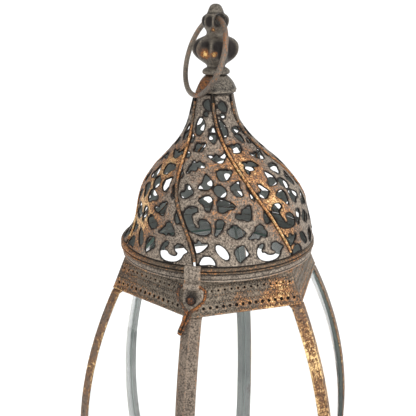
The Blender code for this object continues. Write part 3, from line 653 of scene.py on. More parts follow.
# The pierced pattern: named groups of flat outlines, (round, up) on the sheet that the gores
# are cut from, and ovals as (round, up, half width, half height, and the points if not 14)
PATTERN = {
    "gate": [
        [(-30, 1.4), (-25.5, 5.4), (-23.2, 6.6), (-19.2, 6.6), (-18.6, 4), (-19.4, 1.3),
         (-22.5, 2.1), (-26, 1.6)]],
    "fish": [
        [(-29.5, 8.3), (-26.8, 11.2), (-27.8, 16), (-26, 16.4), (-25.3, 13.8), (-23.2, 14.2),
         (-21.8, 16.2), (-20.5, 15.8), (-20.2, 14), (-15.3, 15), (-19, 12.2), (-24.5, 9)]],
    "leaf": [
        [(-3.4, 2.9), (-3.6, 6.4), (-2, 9.8), (0.8, 12), (6, 13.4), (5.2, 10), (5.7, 7.8),
         (3.5, 6.3), (0.8, 5), (-1.4, 3.6)]],
    "big scroll": [
        [(18.5, 13.2), (15, 12), (11.8, 9), (10.2, 5.8), (10.6, 3), (13.5, 1.5), (17.5, 1.2),
         (22, 1.8), (25.5, 3.6), (28, 6.8), (31.5, 8.5), (29.5, 10.3), (28.3, 12.3), (25.2, 12.4),
         (22.6, 10.4), (22.4, 8), (24.2, 7), (22.6, 4.9), (19.5, 4.6), (17, 5.6), (16.2, 7.2),
         (14.4, 7), (14.8, 9.2), (17.5, 11)]],
    "diamond": [
        [(0, 21.7), (1, 23.2), (3.6, 24.4), (5.4, 26.4), (7.8, 26.2), (8.6, 24.2), (11.2, 21.7),
         (9.4, 19.9), (7.6, 18.9), (5.4, 18.6), (3.4, 17.6), (2, 19), (0.6, 19.6)]],
    "bird": [
        [(10.5, 16.7), (13.5, 18.6), (15.6, 20.4), (18.2, 21.8), (19.6, 24), (22.6, 25.3),
         (24.4, 24), (24, 21.7), (25.2, 20.4), (23.6, 17.4), (21.6, 16.8), (20.2, 18.4),
         (18.8, 18), (17.4, 16.4), (15.2, 17.2)]],
    "slash": [
        [(0.8, 29.8), (-2.6, 29.4), (-4.4, 26.6), (-6.4, 23), (-8.8, 20.2), (-8.2, 19.6),
         (-5.4, 21.6), (-2.6, 23.8), (-0.4, 26), (1.2, 28.4)]],
    "round scroll": [
        [(-11.8, 37), (-15.5, 37.4), (-20, 35.2), (-23.2, 32), (-25.2, 28), (-25.8, 24.6),
         (-23.8, 21.8), (-19.6, 20.2), (-14.6, 20), (-10.6, 21.8), (-8.6, 25), (-8.6, 28.2),
         (-10.6, 29.8), (-14, 29), (-15.4, 26.6), (-15.6, 24.4), (-17.6, 23.6), (-19.2, 25),
         (-18.8, 28), (-18.4, 31), (-16.6, 33.2), (-12.2, 34.6)]],
    "clover": [
        [(21.8, 38.2), (20, 36.8), (16.6, 35.6), (15.4, 34.2), (14.6, 32.4), (12.4, 32.8),
         (10.4, 32), (9.8, 30.6), (11.4, 29.8), (14, 29.8), (15.6, 28.4), (17.6, 28.4),
         (19.6, 30.4), (20.6, 33), (21.6, 35)]],
    "crescent": [
        [(-20.6, 43.6), (-19, 42), (-16, 43), (-10.6, 46.2), (-11.4, 48.6), (-12.8, 51.8),
         (-14.6, 51.2), (-15, 48.6), (-17, 46.4), (-20, 45.6)]],
    "swallow": [
        [(-13.4, 59.4), (-12, 61.8), (-11.2, 63.8), (-9.2, 65.8), (-8.4, 68.6), (-6.6, 69),
         (-6.2, 67.4), (-3.4, 69.2), (-0.6, 67.6), (0.2, 65), (-2.8, 64.4), (-5.2, 65.2),
         (-5.6, 63), (-7, 62), (-9.8, 62.4), (-11.6, 60.2)]],
    "arrow": [
        [(2.2, 73.8), (4.2, 74.2), (5.8, 72.8), (7.2, 74.6), (8.6, 74.2), (9.2, 72.2), (11, 73.8),
         (13.4, 76), (14.8, 75), (13, 72), (11.8, 68.8), (9.8, 68), (7, 69.4), (4.8, 71.2)]],
    "puzzle": [
        [(-8.2, 76.6), (-6, 78.4), (-6.4, 80.6), (-4.8, 82.6), (-2.8, 81.6), (0, 83), (1, 81.8),
         (-0.4, 79), (-1.8, 77), (-4.8, 76.3)]],
    "upper leaf": [
        [(-3.5, 99.6), (-1.6, 98.6), (-0.8, 96), (-1.2, 92.4), (-2.4, 90.2), (-4.4, 88.6),
         (-6, 89.4), (-6.3, 91.8), (-5.9, 95.2), (-4.8, 97.6)]],
    "top leaf": [
        [(2.4, 111.8), (-0.6, 109.6), (-0.4, 107.6), (1, 106.2), (3, 105), (4.8, 106.4),
         (4, 109.2)]],
    "petals": [
        [(-8.6, 42), (-6.4, 43.6), (-1.4, 45), (0, 44), (0, 42), (-1.4, 39.2), (-3.6, 36.4),
         (-4.6, 35.2), (-6.2, 35), (-6.8, 37), (-6.6, 39.2), (-8.6, 40.6)],
        [(2.2, 40), (4.2, 42.3), (7.7, 42.3), (10.5, 40.6), (13.2, 38.4), (10.5, 36.4), (7, 36),
         (3.6, 34), (2, 34), (1.2, 35.4), (2.2, 37.8)],
        [(14, 51), (16, 52), (18.2, 53.5), (20.4, 54.6), (19.6, 51), (20, 47.6), (20.2, 44.8),
         (18.2, 43.8), (16, 44.8), (14, 47.6)],
        [(7, 61.6), (9, 63.2), (14, 63), (16.8, 62.6), (16.8, 60.2), (14.6, 58), (13.2, 56),
         (10.5, 55), (8.4, 56), (7.6, 58)],
        [(0, 59.8), (1.5, 58), (2.9, 56), (3.4, 53.9), (2.2, 50.8), (0, 49.2), (-4.2, 49),
         (-6.8, 49.2), (-6, 51), (-3.4, 53.2), (-2, 55.4), (-1, 58)]],
    "barred ring": [
        [(3.2, 91.4), (4, 93), (5.8, 94), (8, 93.8), (8.4, 92.2), (7, 90.8), (3.4, 90.6)],
        [(3, 88.4), (6.6, 89), (7.2, 85.6), (6.2, 83.2), (4.2, 84.8), (3.2, 86.6)],
        [(9.4, 82.2), (10.6, 84.8), (12.4, 85.2), (13.8, 83.8), (12.8, 81.8), (11, 80.9)],
        [(9.8, 93), (11.6, 91.4), (12.4, 89.2), (11.6, 88.2), (10.2, 89.8)]],
    "edge pieces": [
        [(-33, 21), (-28.6, 23), (-27.6, 29), (-31.5, 31.5), (-33.5, 27)],
        [(-28, 36), (-24.4, 38), (-22.8, 42.5), (-26, 45), (-28.6, 41)],
        [(-21.5, 54), (-18, 55), (-15.6, 59.4), (-18.4, 62), (-21, 58.5)],
        [(-40, 9), (-35.4, 10), (-33.2, 15.8), (-37, 18.4), (-39.6, 14)],
        [(-44, 24), (-39, 26), (-36.8, 31), (-40.5, 34), (-43, 30)],
        [(27.4, 24.8), (31, 26.5), (34.4, 31), (31, 33.2), (27.8, 30)],
        [(25, 40.4), (29.6, 42), (31.8, 47), (27.6, 49), (25, 45.6)],
        [(22.6, 58.6), (26.6, 57.8), (28.2, 61), (25.4, 65.2), (22, 63.4)],
        [(17.6, 68), (21.8, 69.4), (22.2, 73.4), (19.2, 74.6), (17, 71.8)],
        [(13.6, 77.4), (17.8, 78), (18.4, 82), (15.8, 83.4), (13.4, 80.8)],
        [(-14.4, 71), (-10.8, 71.4), (-10, 74.2), (-12.4, 76), (-14.6, 74)],
        [(-12.2, 82), (-8.6, 83.6), (-8.4, 87.6), (-10.8, 88.8), (-12.4, 86)],
        [(36, 8), (40, 11), (40, 17), (36.5, 16)],
        [(38, 20), (41, 24), (38, 28), (36, 24)]]}
OVALS = [(-10.2, 9.5, 3.2, 4.6), (6.8, 48.1, 3.7, 4.0), (0.6, 102.4, 0.9, 0.9, 10)]

DOME_PATH = smooth_path(DOME_OUTLINE, 12)
HEIGHTS, RADII = DOME_PATH.T
LENGTHS = lengths_along(DOME_PATH)
# Each gore is cut from the pierced sheet at its own place: shift round and shift up
GORE_SHIFTS = [(0.0, 0.0), (-3.5, -1.2), (4.0, 1.0), (-6.0, 0.6), (2.5, -0.8), (0.5, 0.2)]
UPRIGHT_GORES = (0, 5)        # on these the pattern doesn't follow the dome's lean
SEAM_MARGIN = 1.6             # the openings stay this clear of a gore's edge
SHORTEST_EDGE = 0.12
LEAST_AREA = 2.2              # an opening trimmed to less than this is left out
LEAST_WIDTH = 1.2
LARGER_ABOVE = 84.0           # openings further up the sheet than this were cut larger
LARGER_BY = 0.45


def dome_at(s):
    """Radius and height of the dome at length s up its sheet."""
    return np.interp(s, LENGTHS, RADII), np.interp(s, LENGTHS, HEIGHTS)


def dome_shift(z):
    return np.interp(z, *np.transpose(DOME_LEAN))


def dome_place(x, s, offset, corner):
    """Points on the twisted dome: x is the distance round, s the length up the sheet and offset
    the height above its middle. corner counts as in at_corner and says where x is 0 at the
    dome's foot."""
    r, z = dome_at(s)
    (r_above, z_above), (r_below, z_below) = dome_at(s + 1.0), dome_at(s - 1.0)
    dr, dz = r_above - r_below, z_above - z_below
    size = np.hypot(dz, dr)
    twist = DOME_TWIST * (z - DOME_BOTTOM) / (DOME_TOP - DOME_BOTTOM)
    angle = x / r - twist + FRONT + corner * SIDE_ANGLE
    r = r + offset * dz / size
    z = z - offset * dr / size
    shift = dome_shift(z)
    return np.column_stack([r * np.cos(angle) + shift * math.cos(LEAN_TOWARDS),
                            r * np.sin(angle) + shift * math.sin(LEAN_TOWARDS), z])


def gore_half_width(s):
    """Half the flat width of a gore at length s, out to the creases beside its ribs."""
    return dome_at(s)[0] * HALF_SIDE - 0.7


def pattern_outlines():
    """The openings with their corners softened, and the upper ones enlarged."""
    outlines = [cut_corners(outline) for group in PATTERN.values() for outline in group]
    outlines += [np.array(oval(*sizes)) for sizes in OVALS]
    loops = [outline if area_of(outline) > 0 else outline[::-1] for outline in outlines]
    return [grown(loop, LARGER_BY if loop[:, 1].mean() > LARGER_ABOVE else 0.0) for loop in loops]


def gore_holes(outlines, shift, upright):
    """The openings that fall on one gore, trimmed clear of its seams."""
    holes = []
    for outline in outlines:
        loop = outline + np.array(shift)
        if upright:
            loop[:, 0] -= dome_shift(dome_at(loop[:, 1])[1])
        loop[:, 1] += max(1.0 - loop[:, 1].min(), 0.0)
        limit = gore_half_width(loop[:, 1]) - SEAM_MARGIN
        loop[:, 0] = np.clip(loop[:, 0], -limit, limit)
        kept = [loop[0]]
        for point in loop[1:]:
            if np.linalg.norm(point - kept[-1]) > SHORTEST_EDGE:
                kept.append(point)
        if np.linalg.norm(kept[0] - kept[-1]) < SHORTEST_EDGE:
            kept.pop()
        hole = np.array(kept)
        wide = np.ptp(hole[:, 0]) >= LEAST_WIDTH
        if wide and len(hole) > 3 and abs(area_of(hole)) >= LEAST_AREA:
            holes.append(hole)
    return holes


def pierced_gores():
    """Six gores: flat pierced sheets bent on to the twisted dome, dipping beside the ribs."""
    worn_lip = 0.35
    right = [(gore_half_width(s), s) for s in np.linspace(0.0, LENGTHS[-1], 60)]
    left = [(-x, s) for x, s in right[::-1]]
    foot = [(x, 0.0) for x in np.linspace(-gore_half_width(0.0), gore_half_width(0.0), 34)[1:-1]]
    boundary = np.array(foot + right + left)
    outlines = pattern_outlines()
    for k in range(SIDES):
        holes = gore_holes(outlines, GORE_SHIFTS[k], k in UPRIGHT_GORES)
        points, faces, slots, edge = pierced_plate(boundary, holes, DOME_SHEET, 1.9, lip=worn_lip)
        x, s, offset = points.T
        room = np.clip(gore_half_width(s) - np.abs(x), 0.0, 4.0)
        dip = -0.7 * peak(room, 0.0, 1.1)
        dents = np.array([0.18 * wobble((a, b, 10.0 * k), 0.11) for a, b in zip(x, s)])
        # painted shade in the creases beside the ribs, on the openings' walls and round their lips
        painted_shade = np.where(offset > 0, 0.85 * peak(room, 0.0, 0.8), 0.0)
        painted_shade[np.abs(offset) < 0.3] = 1.0
        painted_shade = np.where(edge == worn_lip, np.maximum(painted_shade, 0.9), painted_shade)
        bent = dome_place(x, s, offset + dip + dents, k + 0.5)
        add_piece("pierced_gore_%d" % (k + 1), bent, faces, "lid", "dome_gore_%d" % (k + 1),
                  [PATINA, STEEL], edge, painted_shade, slots, sharp=50.0)


def seam_ribs():
    """Beads over the seams, soldered on and filed uneven."""
    sides = 10
    s = np.linspace(*np.interp((33.9, 125.3), HEIGHTS, LENGTHS), 110)
    for k in range(SIDES):
        path = dome_place(0.0, s, 0.1, k)
        points, faces = tube(path, 0.92, sides, uneven=0.16)
        add_piece("seam_rib_%d" % (k + 1), points, faces, "lid", "dome_rib_%d" % (k + 1), [BEAD],
                  wire_wear(path, sides, 0.75, 0.06, k))


def hand_rolled(r, z, angle):
    """A turned ring's outer side, a little uneven."""
    uneven = wobble((40 * math.cos(angle), 40 * math.sin(angle), z), 0.12)
    return r - 0.1 + (0.12 * uneven if r > 65 else 0.0)


def rolled_ring(outline):
    """A ring round the lantern: its points and faces, its slots, 1 on the faces that look inwards,
    and its points' radii and heights."""
    points, faces = lathe(rounded(outline), 180, reshape=hand_rolled)
    radius = np.hypot(points[:, 0], points[:, 1])
    slots = [1 if max(radius[i] for i in face) < INNER_RADIUS else 0 for face in faces]
    return points, faces, slots, radius, points[:, 2]


def lid_rim():
    """Rolled ring under the dome: a bead, a groove and a thin lip."""
    low, high, outer = PARTING + 0.15, DOME_BOTTOM - GAP, RIM_RADIUS
    points, faces, slots, radius, z = rolled_ring([
        (63.4, high), (outer - 1.6, high), (outer - 0.7, high - 0.3), (outer - 0.1, high - 1.0),
        (outer - 0.3, high - 1.8), (outer - 1.0, high - 2.2), (outer - 1.1, high - 2.5),
        (outer - 0.4, high - 2.7), (outer, high - 3.2), (outer - 0.2, low + 0.25),
        (outer - 0.8, low), (62.9, low), (62.9, low + 1.0), (63.4, low + 1.0)])
    # painted shade in the groove and a painted shadow along the parting below; the thin lip is
    # lighter, from edge wear and a painted highlight
    groove = 0.8 * peak(z, high - 2.35, 0.35) * (radius > 64.5)
    edge = 0.5 * peak(z, high - 1.0, 0.5) + 0.6 * peak(z, low + 1.3, 0.4)
    add_piece("rolled_rim", points, faces, "lid", "lid_rim_ring", [BEAD, STEEL],
              edge * (radius > outer - 1.4), np.maximum(groove, peak(z, low - 0.1, 0.7)), slots,
              sharp=60.0)


# ---------------------------------------------------------------- finial and ring

def bell_cap():
    """Six-sided bell over the top of the dome, its corners softened."""
    outline = [(4.0, 142.2), (6.6, 142.0), (7.7, 141.3), (9.3, 139.9), (11.0, 137.9),
               (12.3, 135.7), (13.3, 133.4), (13.9, 132.2), (14.0, 131.7), (13.2, 131.7),
               (12.6, 132.4), (4.0, 132.4)]

    def six_sided(r, z, angle):
        from_middle = (angle - FRONT + DOME_TWIST) % SIDE_ANGLE - HALF_SIDE
        facet = math.cos(HALF_SIDE) / math.cos(from_middle) * 1.09
        share = min(max((142.0 - z) / 6.0, 0.0), 1.0)
        return r * (1 + share * (facet - 1)) if r > 5 else r
    points, faces = lathe(outline, 72, reshape=six_sided)
    add_piece("bell_cap", points, faces, "lid", "finial_cap", [CAST],
              peak(points[:, 2], 131.7, 0.8), sharp=45.0)


def scoop_at(angle):
    """How deep the finial's flutes are at an angle: 0 on a ridge and 1 at a flute's deepest."""
    return np.abs(np.sin(FLUTES / 2 * (angle - FLUTE_TURN)))


def turned_finial():
    """Cast finial: tip, fluted bead with a cross hole, fluted ball and disc."""
    knots = [(0.05, 187.4), (1.7, 187.2), (3.2, 186.3), (4.2, 184.8), (4.9, 183.2), (5.3, 182.0),
             (6.0, 181.0), (7.7, 179.9), (8.9, 178.4), (9.3, 176.6), (8.9, 174.6), (7.8, 172.8),
             (6.6, 171.0), (6.0, 169.4), (6.3, 168.0), (7.6, 167.0), (10.0, 166.0),
             (13.0, 164.4), (15.3, 162.0), (16.1, 159.2), (15.3, 156.2), (13.0, 153.4),
             (9.8, 151.0), (7.3, 149.4), (6.1, 148.0), (6.2, 146.9), (7.8, 146.0), (8.8, 145.0),
             (9.1, 143.9), (8.7, 142.9), (7.6, 142.4), (7.2, 142.2)]
    stud = [(2.9, 142.2), (2.9, 123.1), (0.05, 123.0)]

    def fluted(r, z, angle):
        depth = peak(z, BALL_HEIGHT, 6.4, 4) + 0.75 * peak(z, BEAD_HEIGHT, 3.4, 4)
        return r * (1 - 0.24 * depth * scoop_at(angle) ** 0.9)
    points, faces = lathe(list(smooth_path(knots, 4)) + stud, 180, closed=False, reshape=fluted)
    x, y, z = points.T
    scoop = scoop_at(np.arctan2(y, x))
    flutes = peak(z, BALL_HEIGHT, 6.4, 4) + peak(z, BEAD_HEIGHT, 3.8, 4)
    # painted shade in the flutes and at the necks, less at the painted highlights on the ball; the
    # ridges are lighter, from edge wear and a painted highlight
    dull = 1 - np.clip(wear_and_highlight_at(points), 0, 1)
    necks = sum(peak(z, neck, 0.6) for neck in (181.8, 147.4, 142.4))
    painted_shade = np.clip(1.05 * scoop ** 0.6 * flutes * dull + 0.6 * necks, 0, 1)
    ridge = np.clip(flutes * (1 - scoop) ** 4, 0, 1) * 0.9
    finial = add_piece("fluted_finial", points, faces, "lid", "finial", [CAST], ridge, painted_shade,
                       sharp=55.0)
    cut_cross_hole(finial)


def cut_cross_hole(finial):
    bm = bmesh.new()
    bmesh.ops.create_cone(bm, cap_ends=True, segments=40, radius1=HOLE_RADIUS * MM,
                          radius2=HOLE_RADIUS * MM, depth=40 * MM)
    mesh = bpy.data.meshes.new("cross_hole")
    bm.to_mesh(mesh)
    bm.free()
    cutter = new_object("cross_hole", mesh)
    cutter.location.z = BASE + HOLE_HEIGHT * MM
    cutter.rotation_euler = (0.0, math.pi / 2, HOLE_ANGLE)
    finial.modifiers.new("cross hole", "BOOLEAN").object = cutter
    bpy.context.view_layer.update()
    graph = bpy.context.evaluated_depsgraph_get()
    pierced = bpy.data.meshes.new_from_object(finial.evaluated_get(graph))
    finial.modifiers.clear()
    finial.data = pierced
    bpy.data.objects.remove(cutter, do_unlink=True)


def hanging_ring():
    """Hand-bent wire ring, through the hole and leaning on the cap."""
    sides = 16
    middle = sum(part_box("hanging_ring"), Vector()) / 2
    center = np.array([middle.x / MM, middle.y / MM, above_band(middle.z)])
    hole = np.array([0.0, 0.0, HOLE_HEIGHT])
    down = (center - hole) / np.linalg.norm(center - hole)
    along = np.array([math.cos(HOLE_ANGLE), math.sin(HOLE_ANGLE), 0.0])
    path = [center + RING_RADIUS * (math.cos(angle) * along + math.sin(angle) * down)
            for angle in np.linspace(0.0, 2 * math.pi, 120, endpoint=False)]
    points, faces = tube(path, RING_WIRE - 0.03, sides, closed=True, uneven=0.03)
    add_piece("wire_ring", points, faces, "ring", "hanging_ring", [IRON],
              wire_wear(path, sides, 0.4, 0.05, 3.0))


# ---------------------------------------------------------------- bands and collar

HOLE_ROWS = ((5.2, 1.02, 16), (15.6, 0.72, 15))     # (length up a band's slope, radius, count)
HOLE_MARGIN = 3.4
DOT_ROWS = (1.9, 8.4, 12.6, 18.4)
DOT_MARGIN = 2.6
DOT_PITCH = 1.75
DOT_RADIUS = 0.52
DOT_RISE = 0.40


def band_corner(height):
    """Radius of a band's corner at a height."""
    return BAND_WIDE - (BAND_WIDE - BAND_NARROW) * height / BAND_HEIGHT


def band_place(x, t, offset, side):
    """Points on a band's flat side: x along it, t up its slope, offset out of it."""
    out = (BAND_HEIGHT * offset - BAND_RUN * t) / BAND_SLOPE
    depth = BAND_WIDE * math.cos(HALF_SIDE) + out - 0.5
    z = (BAND_HEIGHT * t + BAND_RUN * offset) / BAND_SLOPE
    return at_corner(np.column_stack([depth, x, z]), side + 0.5)


def band_side():
    """One pierced and embossed side of a band, flat: rows of holes and of small raised dots."""
    def half(t):
        return band_corner(BAND_HEIGHT * t / BAND_SLOPE) / 2 - 0.35
    top = half(BAND_SLOPE)
    foot = [(x, 0.3) for x in np.linspace(-half(0.3), half(0.3), 30)]
    head = [(x, BAND_SLOPE - 0.2) for x in np.linspace(top, -top, 30)]
    holes = []
    for row, radius, count in HOLE_ROWS:
        reach = half(row) - HOLE_MARGIN
        for x in np.linspace(-reach, reach, count):
            size = radius * (1 + 0.22 * wobble((x, row, 0.0), 0.45))
            holes.append(np.array(oval(x, row, size, size, 12)))
    dots = []
    for row in DOT_ROWS:
        reach = half(row) - DOT_MARGIN
        dots += [(x, row, DOT_RADIUS, DOT_RISE)
                 for x in np.linspace(-reach, reach, int(2 * reach / DOT_PITCH) + 1)]
    return pierced_plate(np.array(foot + head), holes, 1.0, 1.6, rim=0.18, dots=dots)


def band_strip(corner):
    """A seam strip creased over a band's corner, with painted shade in its crease and along the
    joints beside it.
    """
    section = [(-2.3, -0.5), (-2.2, 0.1), (-0.5, 0.18), (0.0, 0.05), (0.5, 0.18), (2.2, 0.1),
               (2.3, -0.5)]
    points = []
    for height in np.linspace(0.9, BAND_HEIGHT - 0.2, 9):
        front = band_corner(height) - 0.1
        points += [(front - abs(leg) * math.sin(HALF_SIDE) + out, leg * math.cos(HALF_SIDE), height)
                   for leg, out in section]
    faces = grid_faces(9, 7, wrap_columns=True) + [tuple(range(7)), tuple(range(56, 63))]
    return shape_with_wear_and_shade(at_corner(points, corner), faces, 0, [0.3, 0.8, 0.2, 0.0, 0.2, 0.8, 0.3],
                      [0.9, 0.1, 0.0, 0.75, 0.0, 0.1, 0.9])


def band_mesh():
    """Both bands' shape: six sides, a rolled hem, creased seam strips on the corners, a flange at
    the narrow end and a lining behind the holes, coloured as painted shade."""
    points, faces, slots, edge = band_side()
    x, t, offset = points.T
    dents = np.array([0.10 * wobble((a, b, 5.0), 0.16) for a, b in zip(x, t)])
    # painted shade round the rows of raised dots
    by_dots = np.min([np.abs(t - row) for row in DOT_ROWS], axis=0) < 0.7
    painted_shade = np.where(by_dots & (edge < 0.05) & (offset > 0), 0.4, 0.0)
    shapes = [shape_with_wear_and_shade(band_place(x, t, offset + dents, side), faces, slots, edge, painted_shade)
              for side in range(SIDES)]
    ends = [at_corner([(BAND_WIDE - 0.9, 0.0, 0.75)], corner)[0] for corner in range(SIDES + 1)]
    hem = [start + (end - start) * k / 24 for start, end in zip(ends, ends[1:]) for k in range(24)]
    shapes.append(shape_with_wear_and_shade(*tube(hem, 0.72, 8, closed=True, uneven=0.12), edge=0.85))
    shapes += [band_strip(corner) for corner in range(SIDES)]
    flange = [(61.0, BAND_HEIGHT), (BAND_NARROW - 0.9, BAND_HEIGHT),
              (BAND_NARROW - 0.9, BAND_HEIGHT - 1.0), (61.0, BAND_HEIGHT - 1.0)]
    # the lining is a sheet behind the holes, coloured as painted shade
    lining = [(BAND_WIDE - 1.32, 0.4), (BAND_NARROW - 1.12, BAND_HEIGHT - 0.6),
              (BAND_NARROW - 1.38, BAND_HEIGHT - 0.6), (BAND_WIDE - 1.58, 0.4)]
    shapes.append(shape_with_wear_and_shade(*lathe(flange, SIDES, turn=FRONT), slots=1))
    shapes.append(shape_with_wear_and_shade(*lathe(lining, SIDES, turn=FRONT), slots=[0, 1, 1, 1], painted_shade=1.0))
    return join(shapes)


def bands():
    points, faces, slots, edge, painted_shade = band_mesh()
    lower = points * (1.0, 1.0, -1.0) - (0.0, 0.0, BODY_HEIGHT)
    for place, band in ((points, "upper"), (lower, "lower")):
        add_piece("pierced_band_" + band, place, faces, "body", band + "_band", [BAND, STEEL],
                  edge, painted_shade, slots)


def collar():
    """Round stepped ring on the upper band, with the flat shelf under it."""
    low, high, outer = BAND_HEIGHT + GAP, PARTING - 0.15, COLLAR_RADIUS
    points, faces, slots, radius, z = rolled_ring([
        (62.6, high), (outer - 1.0, high), (outer - 0.4, high - 0.3), (outer, high - 1.3),
        (outer - 0.2, high - 2.6), (outer - 0.9, high - 3.3), (outer - 0.7, high - 3.7),
        (outer - 0.4, low + 0.45), (outer - 0.8, low), (52.6, low), (52.6, low + 1.0),
        (62.6, low + 1.0)])
    # the lower lip is lighter, from edge wear and a painted highlight; painted shade in the groove
    lip = peak(z, low + 0.4, 0.4) * (radius > 64.6)
    groove = 0.8 * peak(z, high - 3.35, 0.3) * (radius > 64)
    add_piece("stepped_collar", points, faces, "body", "top_collar", [PATINA, STEEL], lip, groove,
              slots, sharp=60.0)


# ---------------------------------------------------------------- glazed body

def body_corner(height):
    """Radius of the bowed body's corner at a height."""
    middle = -BODY_HEIGHT / 2
    bulge = (BODY_CORNER_MAX - BODY_CORNER_END) / middle ** 2
    return BODY_CORNER_MAX - bulge * (height - middle) ** 2


def tucked_corner(height):
    """Corner radius of the posts' outside, which steps in behind a band's sheet."""
    depth = max(height, -BODY_HEIGHT - height)
    return body_corner(height) if depth < -1.0 else band_corner(depth) - TUCK_STEP


def body_apothem(height, inset, corner):
    """Distance from the axis to a flat side, and its height, a depth inside the skin whose corner
    radius is corner(height)."""
    step = 0.01
    scale = math.cos(HALF_SIDE)
    slope = (corner(height + step) - corner(height - step)) * scale / (2 * step)
    length = math.hypot(1.0, slope)
    return corner(height) * scale - inset / length, height + inset * slope / length


def body_heights(count):
    """Heights of the points down a pane or post, the outer ones inside the two bands."""
    tucked = [TUCK, TUCK / 2, -0.2]
    between = np.linspace(-1.6, 1.6 - BODY_HEIGHT, count)
    return [*tucked, *between, *(-BODY_HEIGHT - height for height in reversed(tucked))]


def corner_posts():
    """Six angle strips, bent along the corners, with a crisp ridge and hand-beaten faces; they are
    bare steel on the inside."""
    shares = [-1.0, -0.93, -0.7, -0.4, -0.12, 0.0, 0.12, 0.4, 0.7, 0.93, 1.0]
    worn = [0.9, 0.9, 0.05, 0.05, 0.05, 0.7, 0.05, 0.05, 0.05, 0.9, 0.9]
    heights = body_heights(80)
    for k in range(SIDES):
        points = []
        for height in heights:
            apothem, z = body_apothem(height, POST_SHEET / 2 + 0.03, tucked_corner)
            ridge = apothem / math.cos(HALF_SIDE)
            for share in shares:
                back = abs(share) * POST_LEG * math.sin(HALF_SIDE)
                across = share * (POST_LEG - 0.1) * math.cos(HALF_SIDE)
                beat = 0.09 * wobble((across, height, 9.0 * k), 0.22)
                soft = 0.12 if share == 0 else 0.0
                points.append((ridge - back + beat - soft, across, z))
        add_sheet("beaten_post_%d" % (k + 1), at_corner(points, k), len(shares), "body",
                  "corner_post_%d" % (k + 1), [STEEL, POST], np.tile(worn, len(heights)),
                  POST_SHEET - 0.1, 0.2, 30.0)


def glass_panels():
    """Six panes bent from top to bottom, with ground edges."""
    half_glass = GLASS_THICKNESS / 2
    points = []
    for height in body_heights(60):
        depths = (GLASS_INSET, GLASS_INSET + half_glass, GLASS_INSET + GLASS_THICKNESS)
        layers = [body_apothem(height, depth, body_corner) for depth in depths]
        half = (layers[1][0] - half_glass) * math.tan(HALF_SIDE) - 0.6
        section = [(r, width, z) for (r, z), width in zip(layers, (half - 0.25, half, half - 0.25))]
        points += [(r, -width, z) for r, width, z in section] + section[::-1]
    rows = len(points) // 6
    faces = grid_faces(rows, 6, wrap_columns=True)
    slots = [0 if face % 6 in (2, 5) else 1 for face in range(len(faces))] + [1, 1]
    faces += [tuple(range(6)), tuple(range((rows - 1) * 6, rows * 6))]
    for k in range(SIDES):
        add_piece("bent_pane_%d" % (k + 1), at_corner(points, k + 0.5), faces, "body",
                  "glass_panel_%d" % (k + 1), [GLASS, GLASS_EDGE], face_slots=slots,
                  sharp=20.0)


# ---------------------------------------------------------------- latch

def latch_tab():
    """Strip from the rim down over the rings, rolled into an eye at its lower end."""
    y, z = LATCH_AXIS
    curl, half_width, columns = 1.7, 5.15, 5
    front = y + curl
    bend = smooth_path([(front + 2.0, 32.3), (front + 0.8, 31.9), (front, 30.9)], 4)
    run = [(front, level) for level in np.linspace(30.2, z + 0.8, 9)]
    eye = [(y + curl * math.cos(a), z + curl * math.sin(a))
           for a in np.radians(np.linspace(0, -280, 24))]
    points = [(x, along, level) for along, level in [*bend, *run, *eye]
              for x in np.linspace(-half_width, half_width, columns)]
    add_sheet("rolled_tab", points, columns, "lid", "latch_tab", [PATINA],
              np.resize([0.8, 0.0, 0.0, 0.0, 0.8], len(points)), 1.0, 0.18, 50.0)


def latch_bail():
    """Closed wire loop: through the tab's eye, round the knob and on into a two-wire tail."""
    sides = 12
    knots = [(6.0, 0.0), (8.2, 1.4), (9.0, 4.2), (8.4, 7.4), (6.4, 10.4), (3.6, 13.0),
             (0.6, 15.2), (-0.3, 17.2), (-3.9, 27.6), (-4.4, 29.2), (-5.6, 29.8), (-6.6, 29.0),
             (-6.1, 27.6), (-2.5, 16.8), (-3.3, 14.6), (-5.6, 11.8), (-7.6, 9.0), (-8.9, 5.6),
             (-8.8, 3.0), (-8.0, 1.2), (-6.0, 0.0)]
    flat = [*smooth_path(knots, 6), *((x, 0.0) for x in np.linspace(-5.0, 5.0, 9))]
    y, z = LATCH_AXIS
    path = [(x, y - down * math.sin(LATCH_LEAN), z - down * math.cos(LATCH_LEAN))
            for x, down in flat]
    points, faces = tube(path, 1.05, sides, closed=True, uneven=0.05)
    add_piece("wire_bail", points, faces, "bail", "latch_bail", [WIRE],
              wire_wear(path, sides, 0.3, 0.16, 1.0))


def latch_knob():
    """Domed, slightly dented knob with a fine rim."""
    tip, back = (corner.y / -MM for corner in KNOB_BOX)
    outline = [(0.02, tip), (0.9, tip - 0.05), (1.7, tip - 0.25), (2.4, tip - 0.6),
               (2.9, tip - 1.0), (3.15, tip - 1.3), (3.4, tip - 1.4), (3.43, tip - 1.7),
               (3.1, tip - 2.0), (1.6, tip - 2.1), (1.5, back), (0.02, back)]
    points, faces = lathe(outline, 32, closed=False)
    x, y, z = points.T
    spun = np.column_stack([x, -z, y + KNOB_HEIGHT])
    spun[:, 1] += np.array([0.05 * wobble(p, 0.9) for p in spun])
    # painted shade round the knob's rim
    add_piece("domed_knob", spun, faces, "body", "latch_knob", [COPPER_KNOB],
              painted_shade=np.clip((np.hypot(x, y) - 2.0) / 0.9, 0, 1))


